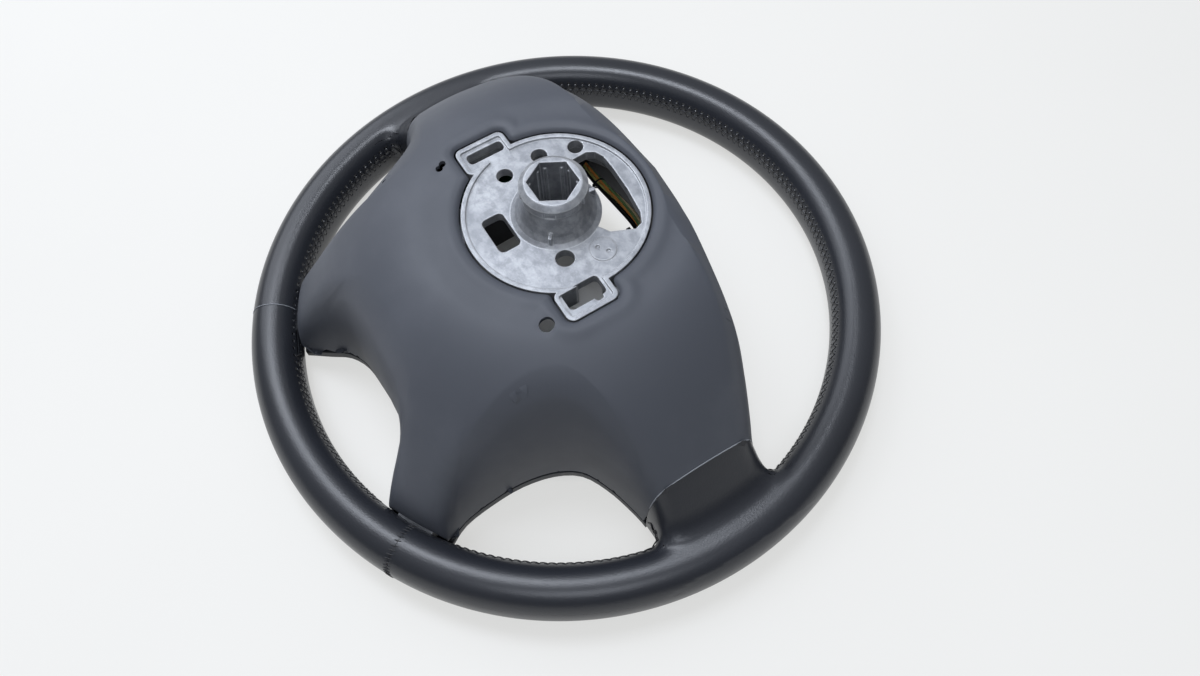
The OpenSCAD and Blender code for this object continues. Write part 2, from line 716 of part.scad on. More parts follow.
module switch_housing(side) {
    pod_shell(side);
    color(plastic_col)
        translate([side * pod_x, 0, 0])
            for (p = post_places)
                translate([p.x, p.y, pod_floor_z + 1])
                    difference() {
                        cylinder(r = 1.9, h = board_z - pod_floor_z - 1, $fn = 24);
                        translate([0, 0, 4])
                            cylinder(d = board_screw_d, h = 10, $fn = 24);
                    }
    // forks that carry the rocker pivots
    color(plastic_col)
        translate([side * pod_x, 0, 0])
            for (x = fork_places(side))
                difference() {
                    translate([x - fork_t / 2, -2, pod_floor_z + 1.5])
                        cube([fork_t, 4, pivot_z + 2 - pod_floor_z - 1.5]);
                    translate([x - 2, 0, pivot_z])
                        rotate([0, 90, 0])
                            cylinder(r = pivot_r + 0.06, h = 4, $fn = 24);
                }
}

// The forks stand half-way between two slots, so that neighbours share one
fork_t = 1.4;
function fork_places(side) = side < 0 ? [-1.5 * slot_pitch, -slot_pitch / 2, slot_pitch / 2]
    : [-slot_pitch / 2, slot_pitch / 2];

module switch_board(side) {
    color(board_col)
        translate([side * pod_x, 0, 0])
            difference() {
                union() {
                    translate([0, 0, board_z])
                        linear_extrude(board_t)
                            polygon(round_rect(pod_w - 4.4, pod_l - 4.4, 5));
                    // tact switches under the ends of each button
                    for (x = slot_x, y = [-9.5, 9.5])
                        translate([x, y, 0]) {
                            translate([-2.5, -2.5, board_z - 2.6])
                                cube([5, 5, 2.7]);
                            translate([0, 0, plunger_z])
                                cylinder(d = 2.6, h = board_z - plunger_z, $fn = 24);
                        }
                    // header for the plug
                    translate([-6, 2, board_z + board_t - 0.1])
                        cube([12, 7, 4.1]);
                }
                for (p = post_places)
                    translate([p.x, p.y, board_z - 1])
                        cylinder(d = 2, h = 5, $fn = 24);
                translate([-5, 2.8, board_z + board_t + 0.8])
                    cube([10, 5.4, 6]);
            }
}

// A button cap with a flange that keeps it in its well, and stems over the switches
module cap(side, slot) {
    translate([side * pod_x + slot_x[slot], 0, 0]) {
        difference() {
            union() {
                translate([0, 0, cap_from + 1])
                    linear_extrude(cap_end_z - cap_from - 1)
                        polygon(round_rect(button_w, button_l, 2));
                // domed front edge
                translate([0, 0, cap_from])
                    linear_extrude(1.1)
                        polygon(round_rect(button_w - 1.6, button_l - 1.6, 1.6));
            }
            translate([0, 0, cap_from + 1.8])
                linear_extrude(8)
                    polygon(round_rect(button_w - 2.4, button_l - 2.4, 1));
        }
        for (y = [-9.5, 9.5])
            translate([0, y, cap_from + 1.7])
                cylinder(d = 3, h = stem_end_z - cap_from - 1.7, $fn = 24);
    }
}

module push_button(side, slot) {
    color(plastic_col) {
        cap(side, slot);
        // retaining tabs at both ends, which rest behind the housing's front wall
        translate([side * pod_x + slot_x[slot], 0, pod_floor_z + pod_front_t + seat_gap])
            linear_extrude(1)
                difference() {
                    polygon(round_rect(button_w + 2 * button_gap + 1.2, button_l + 2 * button_gap + 1.2, 2));
                    polygon(round_rect(button_w - 2.4, button_l - 2.4, 1));
                    square([2 * button_w, button_l - 12], center = true);
                }
    }
}

module rocker(side, slot) {
    color(plastic_col) {
        cap(side, slot);
        // pivot pins through the forks
        translate([side * pod_x + slot_x[slot], 0, pivot_z])
            rotate([0, 90, 0])
                for (e = [0, 1])
                    mirror([0, 0, e])
                        translate([0, 0, button_w / 2 - 1])
                            cylinder(r = pivot_r, h = slot_pitch / 2 - 0.1 - button_w / 2 + 1, $fn = 24);
    }
}

// Wiring harness: a taped trunk from housing to housing, clipped along the wall of the pocket

trunk_y = pocket_up_y + 3;
trunk_z = pocket_top_z + trunk_d / 2 + 3;
plug_y = 5.5;
plug_z = board_z + board_t + 0.9;
plug_h = 9;
// Route of the trunk's right half, from the column plug down into the plug of the right switches
trunk_side = [[28, trunk_y, trunk_z], [38, trunk_y, trunk_z], [50, trunk_y, trunk_z],
    [60, trunk_y - 2, trunk_z], [69, trunk_y - 6, trunk_z - 1], [77, trunk_y - 12, trunk_z - 3],
    [pod_x - 18, 36, 46], [pod_x - 11, 29, 44], [pod_x - 5, 22, 43], [pod_x - 1, 14, 42],
    [pod_x, 8, 39], [pod_x, plug_y, 34], [pod_x, plug_y, plug_z + plug_h]];

// Rings of a tube along a route, each turned as little as possible against the one before
function tube_rings(route, d, sides) =
    let (n = len(route),
        dirs = [for (i = [0:n - 1]) let (v = route[min(i + 1, n - 1)] - route[max(i - 1, 0)]) v / norm(v)],
        start = cross(dirs[0], [0, 0.6, 0.8]))
    [for (i = 0, u = start / norm(start); i < n;
            i = i + 1, u = i < n ? let (w = u - (u * dirs[i]) * dirs[i]) w / norm(w) : u)
        let (v = cross(dirs[i], u))
        [for (k = [0:sides - 1]) route[i] + d / 2 * (u * cos(360 * k / sides) + v * sin(360 * k / sides))]];

module tube(route, d, sides) {
    end_loft(tube_rings(route, d, sides));
}

module harness_trunk() {
    color("#1a1a1b") {
        tube(trunk_side, trunk_d, 10);
        mirror([1, 0, 0])
            tube([for (i = [1:len(trunk_side) - 1]) trunk_side[i]], trunk_d, 10);
    }
}

// Wires that leave the left half's tape and run on bare to the column plug, each bowed out a little
wire_count = 5;
column_plug_l = 20;
column_plug_x = trunk_side[0].x - column_plug_l / 2;
module harness_wires() {
    from_x = -trunk_side[1].x;
    to_x = column_plug_x - column_plug_l / 2;
    color("#c98a3c")
        for (k = [0:wire_count - 1])
            tube([for (i = [0:12])
                    let (t = i / 12, a = 72 * k + 18 + 40 * t * t * (3 - 2 * t),
                        r = 2.4 + 1.3 * pow(sin(180 * t), 2))
                    [from_x + (to_x - from_x) * t, trunk_y + r * cos(a), trunk_z + r * sin(a)]], wire_d, 8);
}

module harness_plug(side) {
    color("#202124")
        translate([side * pod_x, plug_y, plug_z]) {
            translate([-4.8, -2.5, 0])
                cube([9.6, 5, 5]);
            translate([-5.6, -3.6, 3.4])
                cube([11.2, 7.2, plug_h - 3.4]);
            // latch tongue
            translate([-1.5, -4.8, 3.6])
                cube([3, 1.4, plug_h - 4.6]);
        }
}

// Plug for the column's wiring, open towards the hub's window, standing on the wall of the pocket
module column_plug() {
    plug_w = 12;
    color("#202124")
        translate([column_plug_x, trunk_y, 0])
            difference() {
                union() {
                    translate([-column_plug_l / 2, -plug_w / 2, trunk_z - 5])
                        cube([column_plug_l, plug_w, 14]);
                    // foot on the wall, and the latch
                    translate([-5, pocket_up_y - trunk_y, pocket_top_z])
                        cube([10, bezel_wall, trunk_z - 4.5 - pocket_top_z]);
                    translate([-4, -plug_w / 2 - 1.4, trunk_z])
                        cube([8, 1.5, 7]);
                }
                for (i = [-2:2], j = [-1, 1])
                    translate([3.6 * i - 1.2, 2.5 * j - 1.2, trunk_z + 1])
                        cube([2.4, 2.4, 12]);
            }
}

// Clips that stand on the wall of the pocket and hold the trunk
clip_x = 44;
clip_w = 6;
module harness_clips() {
    wall_y = at_x(pocket_half(0), clip_x).y;
    color("#202124")
        for (s = [-1, 1])
            translate([s * clip_x - clip_w / 2, 0, 0])
                rotate([90, 0, 90])
                    linear_extrude(clip_w)
                        difference() {
                            union() {
                                translate([trunk_y, trunk_z])
                                    circle(r = trunk_d / 2 + 2, $fn = 32);
                                translate([wall_y, pocket_top_z])
                                    square([bezel_wall, trunk_z - pocket_top_z]);
                            }
                            translate([trunk_y, trunk_z])
                                circle(r = trunk_d / 2 + 0.15, $fn = 32);
                        }
}

// Fasteners

// Head diameter, head height and length under the head of each kind of screw
cover_screw = [7, 2.4, arm_wall + 6.4];
bezel_screw = [7.4, 2.4, 20];
board_screw = [3.6, 1.2, 6];
lug_screw = [4.6, 1.6, 7];

// A pan-head screw that points up, its head's seat at z = 0
module screw(size, shank_d) {
    head_d = size[0];
    head_h = size[1];
    difference() {
        translate([0, 0, -head_h])
            cylinder(d1 = head_d * 0.8, d2 = head_d, h = head_h, $fn = 32);
        translate([0, 0, -head_h - 0.5])
            linear_extrude(head_h * 0.5 + 0.5)
                for (a = [0, 90])
                    rotate(a)
                        square([head_d * 0.55, head_d * 0.14], center = true);
    }
    translate([0, 0, -0.01])
        cylinder(d = shank_d, h = size[2], $fn = 24);
}

module cover_screws() {
    color(steel_col)
        for (a = arm_angles)
            rotate([0, 0, a])
                translate([cover_screw_r, 0, cover_z - arm_below - arm_wall])
                    screw(cover_screw, screw_pilot_d);
}

module bezel_screws() {
    color(steel_col)
        for (p = bezel_screw_places)
            translate([p.x, p.y, bezel_z + 7])
                screw(bezel_screw, screw_pilot_d);
}

module board_screws() {
    color(steel_col)
        for (s = [-1, 1]) {
            for (p = post_places)
                translate([s * pod_x + p.x, p.y, board_z + board_t])
                    mirror([0, 0, 1])
                        screw(board_screw, board_screw_d);
            for (e = [-1, 1])
                translate([s * pod_x + e * lug_x, 0, lug_z + 2])
                    mirror([0, 0, 1])
                        screw(lug_screw, lug_screw_d);
        }
}

armature();
rim_core();
rim_foam();
leather_upper();
leather_lower();
rear_cover();
front_bezel();
retaining_spring(1);  // retaining_spring_left
retaining_spring(0);  // retaining_spring_right
switch_housing(-1);  // switch_housing_left
switch_board(-1);  // switch_board_left
rocker(-1, 0);  // volume_rocker
rocker(-1, 1);  // seek_rocker
push_button(-1, 2);  // mode_button
switch_housing(1);  // switch_housing_right
switch_board(1);  // switch_board_right
rocker(1, 1);  // speed_rocker
push_button(1, 0);  // cruise_button
push_button(1, 2);  // cancel_button
harness_trunk();
harness_wires();
harness_plug(-1);  // harness_plug_left
harness_plug(1);  // harness_plug_right
column_plug();
harness_clips();
cover_screws();
bezel_screws();
board_screws();
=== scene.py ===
"""Car steering wheel, leather covered, seen from behind and without its airbag module.

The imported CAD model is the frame. This script lays the leather, the lacing, the rear cover and the wiring over it,
gives every part its finish, and sets up a small studio. Shapes are worked out in millimetres and become metres
when a mesh is made.
"""

import math

import bmesh
import bpy
import numpy as np
from bpy.props import FloatProperty, FloatVectorProperty, PointerProperty
from bpy.types import Operator, Panel, PropertyGroup
from mathutils import Matrix, Vector


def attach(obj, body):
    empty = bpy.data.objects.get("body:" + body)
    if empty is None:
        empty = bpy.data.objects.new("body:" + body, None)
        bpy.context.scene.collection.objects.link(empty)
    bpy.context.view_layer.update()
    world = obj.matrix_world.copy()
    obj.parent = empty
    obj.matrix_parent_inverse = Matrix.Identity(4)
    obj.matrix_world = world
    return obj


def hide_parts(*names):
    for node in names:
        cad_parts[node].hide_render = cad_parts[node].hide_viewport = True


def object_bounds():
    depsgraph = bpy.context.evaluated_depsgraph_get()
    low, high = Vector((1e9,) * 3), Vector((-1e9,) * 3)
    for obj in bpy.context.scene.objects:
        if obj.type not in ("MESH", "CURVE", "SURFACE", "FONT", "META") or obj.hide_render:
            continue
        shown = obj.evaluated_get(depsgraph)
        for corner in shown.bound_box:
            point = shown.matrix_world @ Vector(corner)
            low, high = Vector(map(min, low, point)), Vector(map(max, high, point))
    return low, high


bl_info = {
    "name": "Car Steering Wheel",
    "version": (1, 0, 0),
    "blender": (4, 5, 0),
    "location": "View3D > Sidebar > Steering Wheel",
    "description": "Finished surfaces of a leather covered steering wheel without its airbag module",
    "category": "Object",
}

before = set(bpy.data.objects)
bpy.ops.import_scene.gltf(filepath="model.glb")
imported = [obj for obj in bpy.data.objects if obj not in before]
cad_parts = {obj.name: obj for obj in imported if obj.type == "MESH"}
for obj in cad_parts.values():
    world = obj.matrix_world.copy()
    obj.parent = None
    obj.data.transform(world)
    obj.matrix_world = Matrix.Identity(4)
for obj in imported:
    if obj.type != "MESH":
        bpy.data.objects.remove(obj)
cad_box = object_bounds()

MM = 0.001
WHEEL = "wheel"

# Sizes that the CAD source has too, in millimetres
RIM_MID_R = 175.5
RIM_MID_Z = 18.5
RIM_HALF_W = 14.5
RIM_HALF_H = 18.5
RIM_IN_R = RIM_MID_R - RIM_HALF_W
RIM_POWER = 0.9
SEAM_ANGLE = 28.8
COVER_Z = 119.5
COVER_FLAT_R = 70.0
COVER_WALL = 2.5
SPOKE_DROP = 54.5
DISH_POWER = 1.75
SHOULDER_W = 17.0
SHOULDER_POWER = 3
PARTING_Z = 14.0
BODY_TOP_Y = 68.0
BODY_LOW_Y = 120.0
SPOKE_HALF_W = 35.0
JOINT_X = 141.5
SEAT_GAP = 0.3
COVER_END_R = RIM_IN_R - SEAT_GAP
END_ROUND = 9.0
BEZEL_Z = 8.0
PLATE_R = 49.5
PLATE_GAP = 1.0
LOBE_X = 51.8
LOBE_Y = -13.5
LOBE_W = 18.5
LOBE_L = 29.0
ACCESS_HOLES = ((56.0, -38.5, 4.0), (-55.2, -39.2, 2.0), (-56.6, -36.6, 1.9))
# The passage at the top of the front, through which the floor shows behind the wiring
PASSAGE_X = 78.0
PASSAGE_Y = 53.6
PASSAGE_TOP_Z = 31.0


# Colours and nodes


def linear(hex_colour):
    """Turns an sRGB hex colour into linear red, green, blue and alpha."""
    parts = [int(hex_colour[i : i + 2], 16) / 255 for i in (1, 3, 5)]
    return tuple(c / 12.92 if c <= 0.04045 else ((c + 0.055) / 1.055) ** 2.4 for c in parts) + (1.0,)


def colour(name, description, hex_colour):
    """A colour that the panel shows, with its default."""
    return FloatVectorProperty(
        name=name, description=description, default=linear(hex_colour), size=4, subtype="COLOR", min=0, max=1
    )


def length(name, description, default):
    """A length in metres that the panel shows, given in millimetres."""
    return FloatProperty(name=name, description=description, default=default * MM, min=0, subtype="DISTANCE", unit="LENGTH")


def add_node(tree, kind, inputs=None, **settings):
    """Adds a node, sets its own settings, and sets or links the inputs that are given."""
    node = tree.nodes.new("ShaderNode" + kind)
    for name, value in settings.items():
        setattr(node, name, value)
    for name, value in (inputs or {}).items():
        if isinstance(value, bpy.types.NodeSocket):
            tree.links.new(value, node.inputs[name])
        else:
            node.inputs[name].default_value = value
    return node


def make_material(name, finish):
    """Makes a material whose surface shader is what finish(tree) returns."""
    material = bpy.data.materials.new(name)
    material.use_nodes = True
    tree = material.node_tree
    tree.nodes.clear()
    shader = finish(tree)
    add_node(tree, "OutputMaterial", {"Surface": shader.outputs[0]})
    return material


# Points, grids and meshes


def unit(vectors):
    """Vectors scaled to length one."""
    return vectors / np.maximum(np.linalg.norm(vectors, axis=-1, keepdims=True), 1e-9)


def polar(radius, degrees):
    """A point at a radius and an angle."""
    return (radius * math.cos(math.radians(degrees)), radius * math.sin(math.radians(degrees)))


def smooth_curve(points, steps):
    """A Catmull-Rom curve through the points: between two neighbours it is the cubic that their own neighbours bend."""
    p = np.asarray(points, float)
    ends = np.vstack([p[:1], p, p[-1:]])
    a, b, c, d = (ends[k : k + len(p) - 1, None] for k in range(4))
    t = (np.arange(steps) / steps)[None, :, None]
    curve = 0.5 * (2 * b + (c - a) * t + (2 * a - 5 * b + 4 * c - d) * t**2 + (3 * b - a - 3 * c + d) * t**3)
    return np.vstack([curve.reshape(-1, p.shape[1]), p[-1:]])


def arc_lengths(points):
    """Distance along a polyline at each of its points."""
    return np.concatenate([[0], np.cumsum(np.linalg.norm(np.diff(points, axis=0), axis=1))])


def along(points, distances):
    """Points of a polyline at the given distances along it."""
    s = arc_lengths(points)
    return np.stack([np.interp(distances, s, points[:, k]) for k in range(points.shape[1])], axis=1)


def curve_distance(points, curve):
    """Shortest distance from each point to a polyline."""
    start, step = curve[:-1], np.diff(curve, axis=0)
    best = np.full(len(points), np.inf)
    for a, v in zip(start, step):
        away = points - a
        t = np.clip(away @ v / max(v @ v, 1e-12), 0, 1)
        best = np.minimum(best, ((away - t[:, None] * v) ** 2).sum(axis=1))
    return np.sqrt(best)


def grid_faces(rows, columns, closed=False):
    """Quads of a grid of points stored row by row. A closed grid joins its last column to its first."""
    i, j = np.meshgrid(np.arange(rows - 1), np.arange(columns if closed else columns - 1), indexing="ij")
    k = (j + 1) % columns
    quads = np.stack([i * columns + j, i * columns + k, (i + 1) * columns + k, (i + 1) * columns + j], axis=-1)
    return quads.reshape(-1, 4)


class Surface:
    """Points in millimetres, with the faces, texture coordinates and normals that go with them."""

    def __init__(self):
        self.points, self.faces, self.uvs, self.normals, self.count = [], [], [], [], 0

    def add(self, points, faces, uv=None, normals=None):
        """Adds a patch, whose faces count from its own first point."""
        points = np.asarray(points, float).reshape(-1, 3)
        self.points.append(points)
        self.faces += [tuple(int(v) + self.count for v in face) for face in faces]
        self.uvs.append(np.zeros((len(points), 2)) if uv is None else np.asarray(uv, float).reshape(-1, 2))
        self.normals.append(np.zeros_like(points) if normals is None else np.asarray(normals, float).reshape(-1, 3))
        self.count += len(points)

    def piece(self, name, material, body=WHEEL, keep_normals=False, sharp=None):
        """Makes the mesh object that stands for the patches and lets it ride on a body."""
        mesh = bpy.data.meshes.new(name)
        mesh.from_pydata((np.vstack(self.points) * MM).tolist(), [], self.faces)
        mesh.polygons.foreach_set("use_smooth", [True] * len(mesh.polygons))
        uv = np.vstack(self.uvs)
        corners = np.empty(len(mesh.loops), np.int32)
        mesh.loops.foreach_get("vertex_index", corners)
        mesh.uv_layers.new(name="surface").data.foreach_set("uv", uv[corners].ravel())
        if sharp is not None:
            mesh.set_sharp_from_angle(angle=math.radians(sharp))
        if keep_normals:
            mesh.normals_split_custom_set_from_vertices(np.vstack(self.normals).tolist())
        mesh.materials.append(material)
        mesh.update()
        piece = bpy.data.objects.new(name, mesh)
        bpy.context.scene.collection.objects.link(piece)
        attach(piece, body)
        return piece


def circle(x, y, radius, count=48):
    """Points of a circle."""
    angle = np.arange(count) * 2 * np.pi / count
    return np.column_stack([x + radius * np.cos(angle), y + radius * np.sin(angle)])


def prism(outline, low, high):
    """A closed object through an outline in the plane, between two heights."""
    count = len(outline)
    points = np.vstack([np.column_stack([outline, np.full(count, z)]) for z in (low, high)])
    faces = [tuple(range(count))[::-1], tuple(range(count, 2 * count))]
    faces += [tuple(face) for face in grid_faces(2, count, closed=True)]
    mesh = bpy.data.meshes.new("cutter")
    mesh.from_pydata((points * MM).tolist(), [], faces)
    cutter = bpy.data.objects.new("cutter", mesh)
    bpy.context.scene.collection.objects.link(cutter)
    return cutter


def cut(piece, cutters, sharp):
    """Applies the piece's modifiers and takes the cutters out of it."""
    for cutter in cutters:
        step = piece.modifiers.new("cut", "BOOLEAN")
        step.operation = "DIFFERENCE"
        step.solver = "EXACT"
        step.object = cutter
    graph = bpy.context.evaluated_depsgraph_get()
    mesh = bpy.data.meshes.new_from_object(piece.evaluated_get(graph), preserve_all_data_layers=True, depsgraph=graph)
    piece.modifiers.clear()
    piece.data = mesh
    mesh.set_sharp_from_angle(angle=math.radians(sharp))
    for cutter in cutters:
        bpy.data.objects.remove(cutter)


# The cover's outline and its back, as in the CAD source

UPPER_EDGE = smooth_curve(
    [
        (0, BODY_TOP_Y),
        (0.24 * JOINT_X, BODY_TOP_Y - 3),
        (0.44 * JOINT_X, BODY_TOP_Y - 8),
        (0.68 * JOINT_X, SPOKE_HALF_W + 19),
        (0.82 * JOINT_X, SPOKE_HALF_W + 12),
        (JOINT_X - 9, SPOKE_HALF_W + 5),
        (JOINT_X + 1, SPOKE_HALF_W + 0.5),
        (RIM_IN_R - 10, SPOKE_HALF_W),
        (RIM_IN_R - 4, SPOKE_HALF_W + 6),
    ],
    6,
)
SIDE_LOW_EDGE = smooth_curve(
    [
        (RIM_IN_R - 3, -SPOKE_HALF_W - 8),
        (RIM_IN_R - 8, -SPOKE_HALF_W - 1),
        (JOINT_X + 1, 1 - SPOKE_HALF_W),
        (0.9 * JOINT_X, -SPOKE_HALF_W - 1.5),
        (0.79 * JOINT_X, -SPOKE_HALF_W - 6),
        (0.69 * JOINT_X, -SPOKE_HALF_W - 13.5),
        (0.63 * JOINT_X, -0.5 * BODY_LOW_Y - 2),
        (0.6 * JOINT_X, -0.67 * BODY_LOW_Y),
        (0.6 * JOINT_X, -0.83 * BODY_LOW_Y),
        polar(RIM_IN_R - 14, -53.5),
        polar(RIM_IN_R, -54.3),
        polar(RIM_IN_R + 12, -54.8),
    ],
    6,
)
FOOT_EDGE = smooth_curve(
    [
        polar(RIM_IN_R + 10, -68.2),
        polar(RIM_IN_R, -68.7),
        polar(RIM_IN_R - 14, -70.2),
        (42, -BODY_LOW_Y - 8),
        (30, -BODY_LOW_Y - 2),
        (14, -BODY_LOW_Y - 0.5),
        (0, -BODY_LOW_Y),
        (-14, -BODY_LOW_Y - 0.5),
    ],
    6,
)


def wall_distance(points):
    """How far a point lies inside the side walls: the distances to the three edges, where the shortest counts most."""
    q = np.stack([np.abs(points[:, 0]), points[:, 1]], axis=1)
    near = [np.maximum(curve_distance(q, edge), 1e-4) for edge in (UPPER_EDGE, SIDE_LOW_EDGE, FOOT_EDGE)]
    return sum(d**-8.0 for d in near) ** (-1 / 8)


def dish_z(radius):
    """Height of the cover's back: flat in the middle, then falling with a power of the distance."""
    return COVER_Z - SPOKE_DROP * (np.maximum(radius - COVER_FLAT_R, 0) / (JOINT_X - COVER_FLAT_R)) ** DISH_POWER


def skin_z(points):
    """Height of the cover's skin: the dish, rounded down to the parting line by a cubic superellipse."""
    radius = np.hypot(points[:, 0], points[:, 1])
    past = np.clip((radius - COVER_END_R + END_ROUND) / END_ROUND, 0, 1)
    fall = np.where(points[:, 1] > -BODY_LOW_Y, 0, END_ROUND * (1 - np.sqrt(1 - past**2)))
    u = np.clip(wall_distance(points) / SHOULDER_W, 0, 1)
    round_over = (1 - (1 - u) ** SHOULDER_POWER) ** (1 / SHOULDER_POWER)
    return PARTING_Z + (dish_z(radius) - fall - PARTING_Z) * round_over


# The leather: where its surface is, and what lies on it


def rounded_distance(s, v, a, b, power):
    """Distance to a superellipse of half axes a and b, from its implicit value over the length of its slope."""
    s, v = np.abs(s) / a, np.abs(v) / b
    q = np.maximum((s**power + v**power) ** (1 / power), 1e-3)
    slope = np.hypot((s / q) ** (power - 1) / a, (v / q) ** (power - 1) / b)
    return (q - 1) / np.maximum(slope, 1 / np.maximum(a, b))


def leather_value(p):
    """Signed distance to the leather: the rim's ring and the two spoke roots, joined by a soft fillet."""
    x, y, z = np.abs(p[..., 0]), p[..., 1], p[..., 2]
    radius = np.hypot(x, y)
    rim = rounded_distance(radius - RIM_MID_R, z - RIM_MID_Z, RIM_HALF_W, RIM_HALF_H, 2 / RIM_POWER)
    slope = DISH_POWER * SPOKE_DROP / (JOINT_X - COVER_FLAT_R)
    crown = dish_z(JOINT_X) - slope * (radius - JOINT_X)
    t = np.clip((x - JOINT_X) / (RIM_IN_R - JOINT_X), 0, 1)
    middle = PARTING_Z + (RIM_MID_Z - PARTING_Z) * t
    half_w = SPOKE_HALF_W - 0.25
    across = np.abs(y - 0.55)
    over = rounded_distance(
        np.maximum(across - half_w + SHOULDER_W, 0), z - middle, SHOULDER_W, np.maximum(crown - middle, 4), SHOULDER_POWER
    )
    under = rounded_distance(np.maximum(across - half_w + 9, 0), z - middle, 9, middle - BEZEL_Z - 0.5, 2)
    root = np.maximum(np.where(z > middle, over, under), x - 174)
    blend = 8 + 8 * np.clip((z - 24) / 14, 0, 1)
    h = np.clip(0.5 + 0.5 * (root - rim) / blend, 0, 1)
    return root + (rim - root) * h - blend * h * (1 - h)


def leather_slope(p):
    """Outward direction of the leather at each point, by central differences."""
    step = 0.05
    parts = []
    for axis in range(3):
        shift = np.zeros(3)
        shift[axis] = step
        parts.append((leather_value(p + shift) - leather_value(p - shift)) / (2 * step))
    return np.stack(parts, axis=-1)


def onto_leather(p, rounds=14):
    """Moves points to the leather's surface along its slope, a few millimetres at a time."""
    for _ in range(rounds):
        slope = leather_slope(p)
        move = (leather_value(p) / np.maximum((slope**2).sum(axis=-1), 0.05))[..., None] * slope
        size = np.linalg.norm(move, axis=-1, keepdims=True)
        p = p - move * np.minimum(1, 4 / np.maximum(size, 1e-9))
    return p


def ring_point(theta, phi, inset=0.0):
    """Point of the rim's ring at an angle about the hub and an angle about the rim's own middle."""
    c, s = np.cos(phi), np.sin(phi)
    radius = RIM_MID_R + (RIM_HALF_W - inset) * np.sign(c) * np.abs(c) ** RIM_POWER
    height = RIM_MID_Z + (RIM_HALF_H - inset) * np.sign(s) * np.abs(s) ** RIM_POWER
    return np.stack([radius * np.cos(theta), radius * np.sin(theta), height + 0 * theta], axis=-1)


ROOT_START_X = JOINT_X + SEAT_GAP
ROOT_COLUMNS = 168
ROOT_ROWS = 44
ROOT_SPREAD = math.radians(19.0)
ROOT_TURN = math.radians(150.0)
ROOT_REACH = math.radians(76.0)


def root_section():
    """Section of a spoke root at the joint, as a loop that starts at the top and runs towards +Y, evenly spaced."""
    half_w = SPOKE_HALF_W - 0.25
    k = np.linspace(0, 1, 400)
    corner = np.sin(k * np.pi / 2)
    side = np.where(k < 0.5, k * 2, 1)
    across = (half_w - SHOULDER_W) * side
    turn = np.clip(k * 2 - 1, 0, 1) * np.pi / 2
    y = across + SHOULDER_W * np.sin(turn) ** (2 / SHOULDER_POWER)
    radius = np.hypot(ROOT_START_X, y + 0.55)
    crown = dish_z(JOINT_X) - DISH_POWER * SPOKE_DROP / (JOINT_X - COVER_FLAT_R) * (radius - JOINT_X)
    z = PARTING_Z + (crown - PARTING_Z) * np.cos(turn) ** (2 / SHOULDER_POWER)
    low_y = (half_w - 9) * np.where(k < 0.5, k * 2, 1) + 9 * np.sin(turn)
    low_z = PARTING_Z - (PARTING_Z - BEZEL_Z - 0.5) * np.cos(turn)
    half = np.vstack([np.stack([y, z], axis=1), np.stack([low_y, low_z], axis=1)[::-1]])
    loop = np.vstack([half, half[::-1] * (-1, 1)])
    loop = loop[np.concatenate([[True], np.linalg.norm(np.diff(loop, axis=0), axis=1) > 1e-6])]
    even = along(loop, np.arange(ROOT_COLUMNS) / ROOT_COLUMNS * arc_lengths(loop)[-1])
    return even + (0.55, 0)


def root_patch(side):
    """Surface of a spoke root: straight lines from the joint's section to a loop around it on the rim, then moved
    onto the leather. Returns the grid of points and the loop in the rim's two angles."""
    section = root_section()
    start = np.stack([np.full(len(section), ROOT_START_X), section[:, 0], section[:, 1]], axis=1)
    ay = np.clip((section[:, 0] - 0.55) / (SPOKE_HALF_W - 0.25), -1, 1)
    above = section[:, 1] > PARTING_Z
    az = np.where(above, (section[:, 1] - PARTING_Z) / 51, (section[:, 1] - PARTING_Z) / (PARTING_Z - BEZEL_Z - 0.5))
    az = np.sign(az) * np.minimum(np.abs(az), 1) ** np.where(above, 0.8, 1.0)
    theta, phi = ROOT_SPREAD * ay, ROOT_TURN - ROOT_REACH * az
    stop = ring_point(theta, phi)
    t = np.linspace(0, 1, ROOT_ROWS)[:, None, None]
    grid = start[None] * (1 - t) + stop[None] * t
    grid[1:] = onto_leather(grid[1:])
    normals = unit(leather_slope(grid))
    sunk = grid[-1] - 0.5 * normals[-1]
    edge = start - 0.35 * normals[0] + (-0.12, 0, 0)
    inner = start - 1.2 * normals[0] + (-0.16, 0, 0)
    back = np.array((-1.0, 0, 0))
    points = np.concatenate([inner[None], edge[None], grid, sunk[None]])
    normals = np.concatenate([np.broadcast_to(back, inner.shape)[None], unit(normals[:1] + back), normals, normals[-1:]])
    loop = np.stack([theta, phi], axis=1)
    if side < 0:
        points, normals = points * (-1, 1, 1), normals * (-1, 1, 1)
    return points, normals, loop


def inside_loop(points, loop):
    """Which points lie inside a closed polygon, by counting the edges to their right."""
    x, y = points[:, 0], points[:, 1]
    inside = np.zeros(len(points), bool)
    for (x0, y0), (x1, y1) in zip(loop, np.roll(loop, -1, axis=0)):
        if y0 == y1:
            continue
        crosses = ((y0 > y) != (y1 > y)) & (x < (x1 - x0) * (y - y0) / (y1 - y0) + x0)
        inside ^= crosses
    return inside


LACE_Z = 26.0
LACE_PITCH = 4.7
LACE_HALF_W = 3.4
FOOT_FROM = 53.6
FOOT_TO = 69.6


